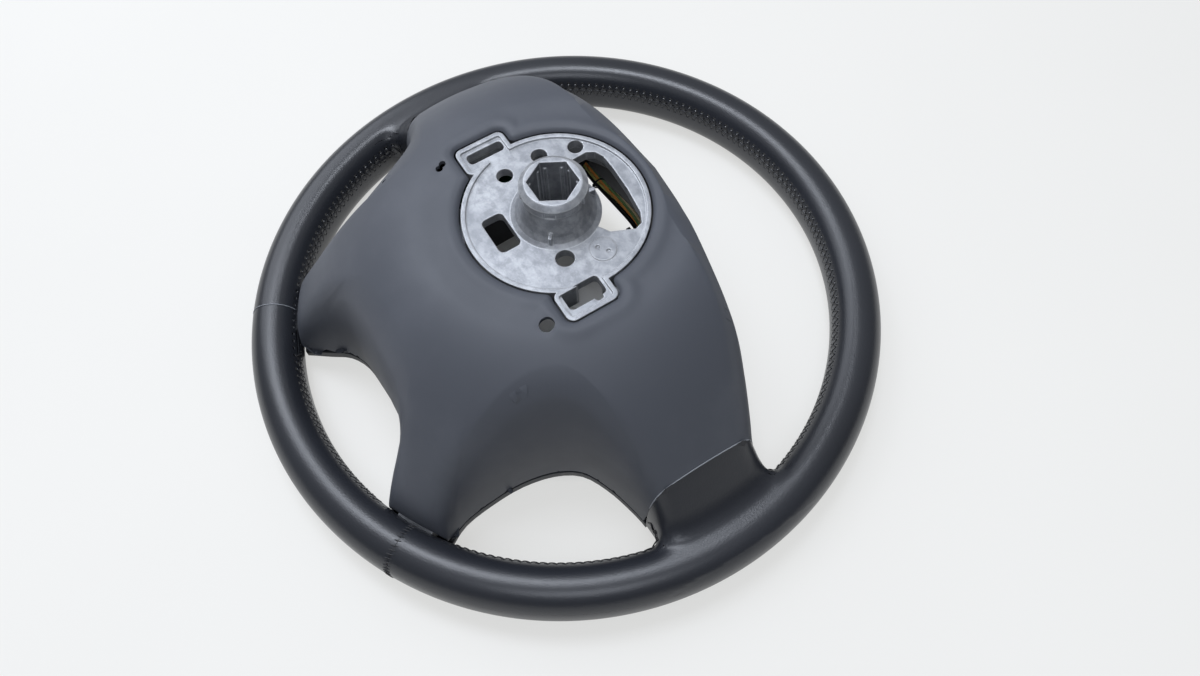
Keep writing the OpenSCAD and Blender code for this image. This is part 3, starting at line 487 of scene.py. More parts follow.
def lace_lines():
    """The seam along the inside of the rim: from each joint along the root's side and round the rim."""
    points, _, _ = root_patch(1)
    rows = points[2:-1]
    half = ROOT_COLUMNS // 2
    lines = []
    for columns in (np.arange(4, half - 4), np.arange(ROOT_COLUMNS - 4, half + 4, -1)):
        z = rows[:, columns, 2]
        first = (z < LACE_Z).argmax(axis=1)
        row = np.arange(len(rows))
        a, b = rows[row, columns[first - 1]], rows[row, columns[first]]
        k = ((a[:, 2] - LACE_Z) / (a[:, 2] - b[:, 2]))[:, None]
        lines.append(a + (b - a) * k)
    side_up, side_low = lines
    radius = RIM_MID_R - RIM_HALF_W * (1 - ((LACE_Z - RIM_MID_Z) / RIM_HALF_H) ** (2 / RIM_POWER)) ** (RIM_POWER / 2)
    flip = np.array((-1, 1, 1))

    def arc(start, stop):
        angle = np.radians(np.linspace(start, stop, 400))
        return np.stack([radius * np.cos(angle), radius * np.sin(angle), np.full(400, LACE_Z)], axis=1)

    up_angle = math.degrees(math.atan2(side_up[-1, 1], side_up[-1, 0])) + 0.2
    low_angle = math.degrees(math.atan2(side_low[-1, 1], side_low[-1, 0])) - 0.2
    upper = np.vstack([side_up, arc(up_angle, 180 - up_angle), (side_up * flip)[::-1]])
    right = np.vstack([side_low, arc(low_angle, -FOOT_FROM)])
    bottom = arc(-FOOT_TO, -180 + FOOT_TO)
    return [upper, right, bottom, (right * flip)[::-1]]


def lace_coordinates(points, lines):
    """Texture coordinates on the leather: stitches along the nearest seam, and millimetres above or below it."""
    best = np.full(len(points), 60.0)
    u, v = np.zeros(len(points)), np.full(len(points), 60.0)
    for line in lines:
        s = arc_lengths(line)
        even = along(line, np.arange(0, s[-1], 1.2))
        for k, spot in enumerate(even):
            away = points - spot
            d = np.sqrt((away**2).sum(axis=1))
            closer = d < best
            best[closer] = d[closer]
            follow = even[min(k + 1, len(even) - 1)] - even[max(k - 1, 0)]
            follow = follow / max(np.linalg.norm(follow), 1e-9)
            ahead = away[closer] @ follow
            rest = np.sqrt(np.maximum(d[closer] ** 2 - ahead**2, 0))
            u[closer] = (1.2 * k + ahead) / LACE_PITCH
            v[closer] = rest * np.sign(away[closer, 2])
    return np.stack([u, v], axis=1)


def strands(starts, ends, normals, radius, bow, rings=7, sides=6):
    """Short threads: a circle carried along a parabola from each start to its end, highest half-way."""
    t = np.linspace(0, 1, rings)[None, :, None]
    centre = starts[:, None] * (1 - t) + ends[:, None] * t + normals[:, None] * (4 * bow * t * (1 - t))
    run = unit(ends - starts)
    side = unit(np.cross(run, normals))
    up = np.cross(side, run)
    angle = np.arange(sides) * 2 * np.pi / sides
    ring = side[:, None] * np.cos(angle)[None, :, None] + up[:, None] * np.sin(angle)[None, :, None]
    points = centre[:, :, None] + radius * ring[:, None]
    faces = grid_faces(rings, sides, closed=True)
    count = rings * sides
    all_faces = (faces[None] + (np.arange(len(starts)) * count)[:, None, None]).reshape(-1, 4)
    return points.reshape(-1, 3), all_faces


def tube(route, radius, sides=12, twist=0.0):
    """A round tube: circles across a route, each turned as little as possible against the one before."""
    route = np.asarray(route, float)
    run = unit(np.gradient(route, axis=0))
    first = np.cross(run[0], (0, 0.6, 0.8))
    side = first / np.linalg.norm(first)
    rings = []
    angle = np.arange(sides) * 2 * np.pi / sides
    s = arc_lengths(route)
    for point, direction in zip(route, run):
        side = side - (side @ direction) * direction
        side = side / np.linalg.norm(side)
        up = np.cross(direction, side)
        rings.append(point + radius * (np.cos(angle)[:, None] * side + np.sin(angle)[:, None] * up))
    points = np.array(rings)
    uv = np.stack(np.broadcast_arrays(s[:, None], np.arange(sides)[None] / sides), axis=-1)
    count = len(route) * sides
    faces = [tuple(face) for face in grid_faces(len(route), sides, closed=True)]
    faces += [tuple(range(sides))[::-1], tuple(range(count - sides, count))]
    return points.reshape(-1, 3), faces, uv.reshape(-1, 2)


# Finishes


def leather_finish(tree):
    """Top-coated automotive leather: satin black, a fine pebble grain, soft broad highlights, pricked along the lacing."""
    colours = bpy.context.scene.wheel_colours
    place = add_node(tree, "TexCoord")
    grain = add_node(
        tree, "TexVoronoi", {"Vector": place.outputs["Object"], "Scale": 620.0}, feature="DISTANCE_TO_EDGE"
    )
    creases = add_node(tree, "TexNoise", {"Vector": place.outputs["Object"], "Scale": 260.0, "Detail": 4.0})
    handled = add_node(tree, "TexNoise", {"Vector": place.outputs["Object"], "Scale": 9.0, "Detail": 3.0})
    tone = add_node(
        tree, "Mix", {0: handled.outputs["Fac"], 6: colours.leather, 7: colours.leather_worn}, data_type="RGBA"
    )
    gloss = add_node(
        tree, "MapRange", {"Value": handled.outputs["Fac"], "From Min": 0.3, "From Max": 0.7, "To Min": 0.27, "To Max": 0.35}
    )
    surface = add_node(tree, "UVMap", uv_map="surface")
    parts = add_node(tree, "SeparateXYZ", {0: surface.outputs["UV"]})
    turn = add_node(tree, "Math", {0: parts.outputs["X"], 1: 2 * math.pi}, operation="MULTIPLY")
    wave = add_node(tree, "Math", {0: turn.outputs[0]}, operation="COSINE")
    off = add_node(tree, "Math", {0: parts.outputs["Y"]}, operation="ABSOLUTE")
    from_row = add_node(tree, "Math", {0: off.outputs[0], 1: LACE_HALF_W + 0.3}, operation="SUBTRACT")
    from_row = add_node(tree, "Math", {0: from_row.outputs[0]}, operation="ABSOLUTE")
    row = add_node(
        tree, "MapRange", {"Value": from_row.outputs[0], "From Min": 0.0, "From Max": 1.1, "To Min": 1.0, "To Max": 0.0},
        interpolation_type="SMOOTHSTEP",
    )
    prick = add_node(
        tree, "MapRange", {"Value": wave.outputs[0], "From Min": 0.1, "From Max": 1.0, "To Min": 0.0, "To Max": -1.0},
        interpolation_type="SMOOTHSTEP",
    )
    pricks = add_node(tree, "Math", {0: row.outputs["Result"], 1: prick.outputs["Result"]}, operation="MULTIPLY")
    valley = add_node(
        tree, "MapRange", {"Value": off.outputs[0], "From Min": 0.0, "From Max": 1.0, "To Min": -0.9, "To Max": 0.0},
        interpolation_type="SMOOTHSTEP",
    )
    seam = add_node(tree, "Math", {0: pricks.outputs[0], 1: valley.outputs["Result"]}, operation="ADD")
    pressed = add_node(tree, "Bump", {"Strength": 1.0, "Distance": 0.0009, "Height": seam.outputs[0]})
    pebbled = add_node(
        tree, "Bump",
        {"Strength": 0.5, "Distance": 0.00012, "Height": grain.outputs["Distance"], "Normal": pressed.outputs[0]},
    )
    creased = add_node(
        tree, "Bump",
        {"Strength": 0.35, "Distance": 0.00012, "Height": creases.outputs["Fac"], "Normal": pebbled.outputs[0]},
    )
    return add_node(
        tree, "BsdfPrincipled",
        {"Base Color": tone.outputs[2], "Roughness": gloss.outputs["Result"], "IOR": 1.5, "Normal": creased.outputs[0]},
    )


def thread_finish(tree):
    """Bonded nylon thread: black, slightly shiny, with its twist as fine ridges."""
    colours = bpy.context.scene.wheel_colours
    place = add_node(tree, "TexCoord")
    twist = add_node(tree, "TexWave", {"Vector": place.outputs["Object"], "Scale": 900.0, "Distortion": 1.0})
    ridged = add_node(tree, "Bump", {"Strength": 0.5, "Distance": 0.0001, "Height": twist.outputs["Fac"]})
    return add_node(
        tree, "BsdfPrincipled", {"Base Color": colours.thread, "Roughness": 0.5, "Normal": ridged.outputs[0]}
    )


def painted_highlight_finish(tree):
    """A pale line of painted highlight, which stands for light caught by the leather's folded edge at a seam and by the
    cover's edge at a spoke joint: light grey, dull and slightly uneven.
    """
    colours = bpy.context.scene.wheel_colours
    place = add_node(tree, "TexCoord")
    patchy = add_node(tree, "TexNoise", {"Vector": place.outputs["Object"], "Scale": 160.0, "Detail": 3.0})
    tone = add_node(tree, "Mix", {0: patchy.outputs["Fac"], 6: colours.painted_highlight_line, 7: colours.painted_highlight_dim}, data_type="RGBA")
    return add_node(tree, "BsdfPrincipled", {"Base Color": tone.outputs[2], "Roughness": 0.6})


def moulded_finish(base, wear_and_highlight_tone, low, high):
    """Mould-textured polypropylene or ABS: an even fine spark-eroded grain, matt, a little lighter where it is rubbed."""

    def finish(tree):
        place = add_node(tree, "TexCoord")
        grain = add_node(tree, "TexNoise", {"Vector": place.outputs["Object"], "Scale": 1400.0, "Detail": 2.0})
        handled = add_node(
            tree, "TexNoise", {"Vector": place.outputs["Object"], "Scale": 14.0, "Detail": 6.0, "Roughness": 0.6}
        )
        rubbed = add_node(
            tree, "MapRange", {"Value": handled.outputs["Fac"], "From Min": 0.42, "From Max": 0.75},
            interpolation_type="SMOOTHSTEP",
        )
        tone = add_node(tree, "Mix", {0: rubbed.outputs["Result"], 6: base, 7: wear_and_highlight_tone}, data_type="RGBA")
        gloss = add_node(tree, "MapRange", {"Value": handled.outputs["Fac"], "To Min": high, "To Max": low})
        rough = add_node(tree, "Bump", {"Strength": 0.3, "Distance": 0.00008, "Height": grain.outputs["Fac"]})
        return add_node(
            tree, "BsdfPrincipled",
            {"Base Color": tone.outputs[2], "Roughness": gloss.outputs["Result"], "IOR": 1.49, "Normal": rough.outputs[0]},
        )

    return finish


def cast_finish(tree):
    """Die-cast magnesium as it leaves the die: light grey, matt metal with pale flow marks, a slightly orange-peel skin
    and a painted highlight along its edges.
    """
    colours = bpy.context.scene.wheel_colours
    place = add_node(tree, "TexCoord")
    stretched = add_node(tree, "Mapping", {"Vector": place.outputs["Object"], "Scale": (1.0, 1.6, 0.5)})
    flow = add_node(
        tree, "TexNoise",
        {"Vector": stretched.outputs[0], "Scale": 42.0, "Detail": 8.0, "Roughness": 0.7, "Distortion": 0.6},
    )
    pale = add_node(
        tree, "MapRange", {"Value": flow.outputs["Fac"], "From Min": 0.36, "From Max": 0.7},
        interpolation_type="SMOOTHSTEP",
    )
    tone = add_node(tree, "Mix", {0: pale.outputs["Result"], 6: colours.metal, 7: colours.metal_pale}, data_type="RGBA")
    blotches = add_node(
        tree, "TexNoise", {"Vector": place.outputs["Object"], "Scale": 190.0, "Detail": 5.0, "Roughness": 0.65}
    )
    dull = add_node(
        tree, "MapRange", {"Value": blotches.outputs["Fac"], "From Min": 0.38, "From Max": 0.66, "To Max": 0.55},
        interpolation_type="SMOOTHSTEP",
    )
    mottled = add_node(
        tree, "Mix", {0: dull.outputs["Result"], 6: tone.outputs[2], 7: colours.metal_dull}, data_type="RGBA"
    )
    skin = add_node(tree, "TexNoise", {"Vector": place.outputs["Object"], "Scale": 700.0, "Detail": 3.0})
    gloss = add_node(tree, "MapRange", {"Value": flow.outputs["Fac"], "To Min": 0.42, "To Max": 0.62})
    # Painted highlight: where the bevelled normal turns away from the flat one, the edges are mixed towards a pale tone
    edges = add_node(tree, "Bevel", {"Radius": 0.0012}, samples=6)
    flat = add_node(tree, "NewGeometry")
    along_edge = add_node(
        tree, "VectorMath", {0: edges.outputs[0], 1: flat.outputs["Normal"]}, operation="DOT_PRODUCT"
    )
    # Mask of the painted edge highlight
    rubbed = add_node(
        tree, "MapRange", {"Value": along_edge.outputs["Value"], "From Min": 0.995, "From Max": 0.93, "To Max": 0.8}
    )
    wear_and_highlight_tone = add_node(
        tree, "Mix", {0: rubbed.outputs["Result"], 6: mottled.outputs[2], 7: colours.metal_edge_highlight}, data_type="RGBA"
    )
    peel = add_node(
        tree, "Bump",
        {"Strength": 0.4, "Distance": 0.0002, "Height": skin.outputs["Fac"], "Normal": edges.outputs[0]},
    )
    return add_node(
        tree, "BsdfPrincipled",
        {"Base Color": wear_and_highlight_tone.outputs[2], "Metallic": 0.6, "Roughness": gloss.outputs["Result"], "Normal": peel.outputs[0]},
    )


def steel_finish(tree):
    """Drawn and zinc-plated steel: bright grey metal with a few dull spots."""
    colours = bpy.context.scene.wheel_colours
    place = add_node(tree, "TexCoord")
    spots = add_node(tree, "TexNoise", {"Vector": place.outputs["Object"], "Scale": 450.0, "Detail": 4.0})
    gloss = add_node(tree, "MapRange", {"Value": spots.outputs["Fac"], "To Min": 0.2, "To Max": 0.45})
    return add_node(
        tree, "BsdfPrincipled", {"Base Color": colours.steel, "Metallic": 1.0, "Roughness": gloss.outputs["Result"]}
    )


def foam_finish(tree):
    """Moulded polyurethane foam: dark, dull and finely pitted where its skin has pores."""
    colours = bpy.context.scene.wheel_colours
    place = add_node(tree, "TexCoord")
    pores = add_node(tree, "TexVoronoi", {"Vector": place.outputs["Object"], "Scale": 900.0})
    pits = add_node(tree, "Bump", {"Strength": 0.5, "Distance": 0.0002, "Height": pores.outputs["Distance"]})
    return add_node(tree, "BsdfPrincipled", {"Base Color": colours.foam, "Roughness": 0.9, "Normal": pits.outputs[0]})


def board_finish(tree):
    """Glass-fibre circuit board under green solder mask: smooth and glossy, with the weave faintly showing."""
    colours = bpy.context.scene.wheel_colours
    place = add_node(tree, "TexCoord")
    weave = add_node(tree, "TexChecker", {"Vector": place.outputs["Object"], "Scale": 900.0})
    faint = add_node(tree, "Bump", {"Strength": 0.15, "Distance": 0.00005, "Height": weave.outputs["Fac"]})
    return add_node(tree, "BsdfPrincipled", {"Base Color": colours.board, "Roughness": 0.3, "Normal": faint.outputs[0]})


def tape_finish(tree):
    """Wound polyester cloth tape: black, dull, with its overlapping turns and a fine weave."""
    colours = bpy.context.scene.wheel_colours
    surface = add_node(tree, "UVMap", uv_map="surface")
    parts = add_node(tree, "SeparateXYZ", {0: surface.outputs["UV"]})
    # a turn of tape every 9 mm, which climbs once round the trunk
    run = add_node(tree, "Math", {0: parts.outputs["X"], 1: 9.0}, operation="DIVIDE")
    wound = add_node(tree, "Math", {0: run.outputs[0], 1: parts.outputs["Y"]}, operation="ADD")
    turn = add_node(tree, "Math", {0: wound.outputs[0]}, operation="FRACT")
    place = add_node(tree, "TexCoord")
    weave = add_node(tree, "TexNoise", {"Vector": place.outputs["Object"], "Scale": 1500.0})
    lap = add_node(tree, "Bump", {"Strength": 0.8, "Distance": 0.0004, "Height": turn.outputs[0]})
    cloth = add_node(
        tree, "Bump", {"Strength": 0.5, "Distance": 0.00015, "Height": weave.outputs["Fac"], "Normal": lap.outputs[0]}
    )
    return add_node(tree, "BsdfPrincipled", {"Base Color": colours.tape, "Roughness": 0.75, "Normal": cloth.outputs[0]})


def insulation_finish(base):
    """PVC wire insulation: smooth and satin, slightly uneven in gloss."""

    def finish(tree):
        place = add_node(tree, "TexCoord")
        smear = add_node(tree, "TexNoise", {"Vector": place.outputs["Object"], "Scale": 300.0})
        gloss = add_node(tree, "MapRange", {"Value": smear.outputs["Fac"], "To Min": 0.32, "To Max": 0.5})
        return add_node(tree, "BsdfPrincipled", {"Base Color": base, "Roughness": gloss.outputs["Result"]})

    return finish


def floor_finish(tree):
    """Pale painted board: smooth, matt and nearly even in tone. To the eye and in reflections most of its white is its
    own, and the rest takes the light and the shadow. Under the wheel's pocket its own white is almost left out, which
    paints shade there."""
    studio = bpy.context.scene.wheel_studio
    place = add_node(tree, "TexCoord")
    cloud = add_node(tree, "TexNoise", {"Vector": place.outputs["Object"], "Scale": 3.0, "Detail": 2.0})
    tone = add_node(tree, "Mix", {0: cloud.outputs["Fac"], 6: studio.floor_colour, 7: studio.floor_shade}, data_type="RGBA")
    painted = add_node(tree, "BsdfPrincipled", {"Base Color": tone.outputs[2], "Roughness": 0.7})
    white = add_node(tree, "Emission", {"Color": tone.outputs[2], "Strength": studio.floor_white})
    # Painted shade: in an oval under the hub's pocket the floor's own white drops to almost nothing, so the floor stays
    # dark where the pocket's shade falls
    pocket = add_node(
        tree, "Mapping", {"Vector": place.outputs["Object"], "Location": (0.0, 0.39, 0.0), "Scale": (12.5, 16.4, 0.0)}
    )
    away = add_node(tree, "VectorMath", {0: pocket.outputs[0]}, operation="LENGTH")
    share = add_node(
        tree, "MapRange",
        {"Value": away.outputs["Value"], "From Min": 1.0, "From Max": 1.3, "To Min": 0.03, "To Max": studio.floor_share},
        interpolation_type="SMOOTHSTEP",
    )
    path = add_node(tree, "LightPath")
    seen = add_node(
        tree, "Math", {0: path.outputs["Is Camera Ray"], 1: path.outputs["Is Glossy Ray"]}, operation="MAXIMUM"
    )
    seen = add_node(tree, "Math", {0: seen.outputs[0], 1: path.outputs["Is Transmission Ray"]}, operation="MAXIMUM")
    amount = add_node(tree, "Math", {0: seen.outputs[0], 1: share.outputs["Result"]}, operation="MULTIPLY")
    return add_node(tree, "MixShader", {0: amount.outputs[0], 1: painted.outputs[0], 2: white.outputs[0]})


# Settings that the panel shows


class WheelColours(PropertyGroup):
    """Colours of the wheel's materials."""

    leather: colour("Leather", "Dyed leather of the rim", "#1f2125")
    leather_worn: colour("Leather, handled", "Leather where hands have polished it", "#292b31")
    thread: colour("Thread", "Lacing and seam thread", "#27272a")
    # Painted highlight: the pale line along a seam and along the cover's edge at a spoke joint, and its patchier tone
    painted_highlight_line: colour("Cord", "Pale cord in a seam, and the cover's rubbed edge", "#999ca1")
    painted_highlight_dim: colour("Cord, soiled", "Cord where it is soiled", "#6c6f74")
    cover: colour("Cover", "Moulded rear cover", "#45484f")
    cover_rubbed: colour("Cover, rubbed", "Rear cover where it is rubbed", "#4d5057")
    bezel: colour("Bezel", "Front frame and switch housings", "#2b2d30")
    bezel_rubbed: colour("Bezel, rubbed", "Front frame where it is rubbed", "#303236")
    button: colour("Buttons", "Painted button caps", "#1b1c1e")
    button_rubbed: colour("Buttons, rubbed", "Button caps where thumbs have polished them", "#212225")
    metal: colour("Cast metal", "Die-cast armature", "#909296")
    metal_pale: colour("Cast metal, pale", "Flow marks of the casting", "#b0b2b5")
    metal_dull: colour("Cast metal, dull", "Dull blotches of the casting", "#6f7277")
    # Painted highlight: the pale tone painted along the casting's edges
    metal_edge_highlight: colour("Cast metal, edges", "Edges where the casting was trimmed", "#d6d8db")
    steel: colour("Steel", "Springs and screws", "#9a9da2")
    foam: colour("Foam", "Foam around the rim's core", "#3a3a3c")
    board: colour("Board", "Switch boards", "#1f5a3a")
    tape: colour("Tape", "Tape around the wiring", "#161617")
    plug: colour("Plugs", "Plugs and clips of the wiring", "#1d1e20")
    plug_rubbed: colour("Plugs, rubbed", "Plugs where they are rubbed", "#232427")


class StudioSettings(PropertyGroup):
    """Floor, lamps and camera."""

    floor_colour: colour("Floor", "Pale floor", "#f0f0ee")
    floor_shade: colour("Floor, shaded", "Faint clouding of the floor", "#ebebe9")
    floor_white: FloatProperty(name="Floor white", description="Strength of the floor's own white", default=1.0, min=0)
    floor_share: FloatProperty(name="Floor share", description="Share of the floor's own white", default=0.7, min=0, max=1)
    key_power: FloatProperty(name="Main lamp", description="Power of the lamp overhead", default=12.0, min=0)
    side_power: FloatProperty(name="Side lamp", description="Power of the lamp at the side", default=7.5, min=0)
    high_power: FloatProperty(name="High lamp", description="Power of the lamp high at the side", default=5.0, min=0)
    fill_power: FloatProperty(name="Fill lamp", description="Power of the lamp near the camera", default=4.0, min=0)
    sky_strength: FloatProperty(name="Surroundings", description="Strength of the light from above", default=0.56, min=0)
    sky_low: FloatProperty(name="Surroundings, low", description="Strength on the darker side", default=0.1, min=0)
    camera_focal: FloatProperty(name="Focal length", description="Lens of the camera in millimetres", default=27.99, min=1)


class LacingSettings(PropertyGroup):
    """Thread along the inside of the rim."""

    thread_radius: length("Thread radius", "Radius of the lacing thread", 0.42)
    bow: length("Thread bow", "How far a stitch stands off the leather at its middle", 0.35)


# Operators


class WHEEL_OT_leather(Operator):
    """Lay the two leather panels over the rim and the spoke roots"""

    bl_idname = "wheel.leather"
    bl_label = "Leather Rim"

    def execute(self, context):
        """A ring of superellipse sections, with a patch for each spoke root on the upper panel."""
        material = make_material("top_coated_leather", leather_finish)
        lines = lace_lines()
        seam = np.radians(SEAM_ANGLE)
        roll = np.array([0, 0.04, 0.1, 0.2, 0.35, 0.55])
        ends = (1.3 - np.sqrt(1.3**2 - (1.3 - 1.3 * np.sqrt(roll / 0.55)) ** 2))
        gap = math.radians(0.05)
        phi = np.linspace(0, 2 * np.pi, 73)[:-1]
        for name, start, stop, steps in (
            ("rim_leather_upper", -np.pi / 2 + seam + gap, 1.5 * np.pi - seam - gap, 300),
            ("rim_leather_lower", -np.pi / 2 - seam + gap, -np.pi / 2 + seam - gap, 64),
        ):
            inner = np.linspace(start + math.radians(0.75), stop - math.radians(0.75), steps)
            theta = np.concatenate([start + np.radians(roll), inner, (stop - np.radians(roll))[::-1]])
            inset = np.concatenate([ends, np.zeros(steps), ends[::-1]])
            grid = np.array([ring_point(np.full(len(phi), a), phi, k) for a, k in zip(theta, inset)])
            normals = unit(leather_slope(grid))
            shape = Surface()
            faces = grid_faces(len(theta), len(phi), closed=True)[:, ::-1]
            flat = grid.reshape(-1, 3)
            if name == "rim_leather_upper":
                at = np.stack(np.meshgrid(theta, phi, indexing="ij"), axis=-1).reshape(-1, 2)
                covered = np.zeros(len(flat), bool)
                for side in (1, -1):
                    points, patch_normals, loop = root_patch(side)
                    middle = np.array((0.0, ROOT_TURN))
                    tight = middle + (loop - middle) * 0.94
                    here = at.copy()
                    here[:, 0] = at[:, 0] if side > 0 else np.pi - at[:, 0]
                    covered |= inside_loop(here, tight)
                    rows, columns = points.shape[:2]
                    patch_faces = grid_faces(rows, columns, closed=True)
                    patch_faces = patch_faces[:, ::-1] if side > 0 else patch_faces
                    cap = tuple(range(columns))
                    uv = lace_coordinates(points.reshape(-1, 3), lines)
                    shape.add(points, [*map(tuple, patch_faces), cap if side > 0 else cap[::-1]], uv, patch_normals)
                faces = faces[~covered[faces].all(axis=1)]
            caps = [tuple(range(len(phi))), tuple(range(len(flat) - len(phi), len(flat)))[::-1]]
            shape.add(flat, [*map(tuple, faces), *caps], lace_coordinates(flat, lines), normals)
            piece = shape.piece(name, material, keep_normals=True)
            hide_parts("leather_upper" if name == "rim_leather_upper" else "leather_lower")
        return {"FINISHED"}


class WHEEL_OT_lacing(Operator):
    """Lace the leather together along the inside of the rim and across one seam, with a line of painted highlight along
    the other seam
    """

    bl_idname = "wheel.lacing"
    bl_label = "Lacing"

    def execute(self, context):
        """Slanted threads between two rows of pricks, set on the leather along the seam's line."""
        settings = context.scene.wheel_lacing
        material = make_material("bonded_nylon_thread", thread_finish)
        shape = Surface()
        radius = settings.thread_radius / MM
        bow = settings.bow / MM
        for line in lace_lines():
            total = arc_lengths(line)[-1]
            count = int((total - 3) / LACE_PITCH)
            s = 1.5 + LACE_PITCH * (np.arange(count) + 0.5)
            for ahead, thickness in ((1.0, 1.0), (-0.55, 0.6)):
                here = along(line, s)
                there = along(line, np.clip(s + ahead * LACE_PITCH, 0, total))
                ends = []
                for spots, shift in ((here, 1), (there, -1)):
                    normals = unit(leather_slope(spots))
                    up = unit(np.array((0, 0, 1.0)) - normals * normals[:, 2:])
                    ends.append(onto_leather(spots + up * shift * LACE_HALF_W))
                normals = unit(leather_slope((ends[0] + ends[1]) / 2))
                points, faces = strands(ends[0], ends[1], normals, radius * thickness, bow)
                shape.add(points, faces)
        phi = np.radians(np.arange(-60, 150, 9.5))
        middle = -np.pi / 2 + np.radians(SEAM_ANGLE)
        a = ring_point(np.full(len(phi), middle - 0.011), phi)
        b = ring_point(np.full(len(phi), middle + 0.011), phi + 0.06)
        normals = unit(leather_slope((a + b) / 2))
        points, faces = strands(a, b, normals, radius * 0.75, 0.1)
        shape.add(points, faces)
        piece = shape.piece("rim_lacing", material)

        # A pale line along the other seam: painted highlight where light catches the leather's folded edge
        painted_highlight_line = Surface()
        phi = np.radians(np.linspace(-60, 150, 60))
        painted_highlight_line.add(*tube(ring_point(np.full(len(phi), -np.pi / 2 - np.radians(SEAM_ANGLE)), phi, 0.05), 0.28, 8))
        piece = painted_highlight_line.piece("seam_painted_highlight", make_material("painted_highlight_seam_line", painted_highlight_finish))
        return {"FINISHED"}


class WHEEL_OT_cover(Operator):
    """Mould the rear cover over the hub and the spokes"""

    bl_idname = "wheel.cover"
    bl_label = "Rear Cover"

    def execute(self, context):
        """A grid between the cover's outline and the hole for the hub, lifted to the skin's height, with a wall."""
        colours = context.scene.wheel_colours
        material = make_material("textured_polypropylene", moulded_finish(colours.cover, colours.cover_rubbed, 0.5, 0.68))
        inner, outer = cover_edges(660)
        gap = np.linalg.norm(outer - inner, axis=1)
        height = np.linspace(0, 1, 22)
        near = 1 - (1 - height**3) ** (1 / 3)
        step = near[:, None] * np.minimum(19.5, 0.72 * gap)[None]
        k = np.linspace(0, 1, 31)[1:]
        rest = step[-1][None] + (gap - step[-1])[None] * (1 - (1 - k) ** 1.7)[:, None]
        share = np.concatenate([step, rest]) / gap[None]
        flat = outer[None] + (inner - outer)[None] * share[..., None]
        rows, columns = flat.shape[:2]
        flat = flat.reshape(-1, 2)
        z = skin_z(flat)
        from_hole = curve_distance(flat, np.vstack([inner, inner[:1]]))
        z = z + 1.1 * np.exp(-(((from_hole - 5.5) / 4.0) ** 2)) - 1.6 * np.clip(1 - from_hole / 2.2, 0, 1) ** 2
        for hx, hy, radius in ACCESS_HOLES:
            away = np.hypot(flat[:, 0] - hx, flat[:, 1] - hy)
            z = z - 0.3 * np.clip(1 - (away - radius) / 3.0, 0, 1) ** 2
        shape = Surface()
        shape.add(np.column_stack([flat, z]), grid_faces(rows, columns, closed=True))
        piece = shape.piece("moulded_rear_cover", material)
        wall = piece.modifiers.new("wall", "SOLIDIFY")
        wall.thickness = COVER_WALL * MM
        wall.offset = -1
        passage = [(-PASSAGE_X, PASSAGE_Y), (PASSAGE_X, PASSAGE_Y), (PASSAGE_X, 90), (-PASSAGE_X, 90)]
        cutters = [prism(passage, 0, PASSAGE_TOP_Z)]
        cutters += [prism(circle(*hole), COVER_Z - 12, COVER_Z + 6) for hole in ACCESS_HOLES]
        cut(piece, cutters, 40)
        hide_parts("rear_cover")

        posts = Surface()
        for x, y in COVER_POSTS:
            posts.add(*post(x, y, 3.6, COVER_Z - 11))
        for x, y in BEZEL_POSTS:
            posts.add(*post(x, y, 4.6, PARTING_Z + 9))
        piece = posts.piece("cover_screw_posts", material, sharp=40)

        # A pale line along the cover's edge at the +X spoke joint, over its upper part: painted highlight where light
        # catches that edge
        section = np.roll(root_section(), ROOT_COLUMNS // 2, axis=0)
        section = section[section[:, 1] > 42]
        edge = np.column_stack([np.full(len(section), JOINT_X + 0.1), section[:, 0], section[:, 1] + 0.2])
        rubbed = Surface()
        rubbed.add(*tube(edge, 0.38, 8))
        piece = rubbed.piece("cover_edge_painted_highlight", make_material("painted_highlight_cover_edge", painted_highlight_finish))
        return {"FINISHED"}


COVER_POSTS = [polar(67.0, angle) for angle in (0, 180, -61.5, -118.5)]
BEZEL_POSTS = [(side * x, y) for side in (1, -1) for x, y in ((90.0, 46.5), (73.44, -66.0))]


def post(x, y, radius, low):
    """A hollow screw post that rises from a height into the cover's wall."""
    rings = []
    for r, top in ((1.3, False), (radius, False), (radius, True), (1.3, True)):
        ring = circle(x, y, r, 32)
        z = skin_z(ring) - COVER_WALL / 2 if top else np.full(len(ring), low)
        rings.append(np.column_stack([ring, z]))
    rings.append(rings[0])
    points = np.concatenate(rings[:4])
    faces = grid_faces(5, 32, closed=True) % len(points)
    return points, [tuple(face) for face in faces]


def hub_hole():
    """The cover's hole for the hub: a circle joined softly to a rounded rectangle at each side, as points by angle."""
    angle = np.linspace(-np.pi, np.pi, 2881)[:-1]
    radius = np.arange(44, 70, 0.04)
    x = np.abs(radius[None] * np.cos(angle)[:, None])
    y = radius[None] * np.sin(angle)[:, None]
    circle = np.hypot(x, y) - PLATE_R - PLATE_GAP
    corner = 5.0
    dx = np.abs(x - LOBE_X) - LOBE_W / 2 - PLATE_GAP + corner
    dy = np.abs(y - LOBE_Y) - LOBE_L / 2 - PLATE_GAP + corner
    lobe = np.hypot(np.maximum(dx, 0), np.maximum(dy, 0)) + np.minimum(np.maximum(dx, dy), 0) - corner
    h = np.clip(0.5 + 0.5 * (lobe - circle) / 4, 0, 1)
    value = lobe + (circle - lobe) * h - 4 * h * (1 - h)
    last = (value < 0).shape[1] - 1 - (value < 0)[:, ::-1].argmax(axis=1)
    return angle, radius[last]


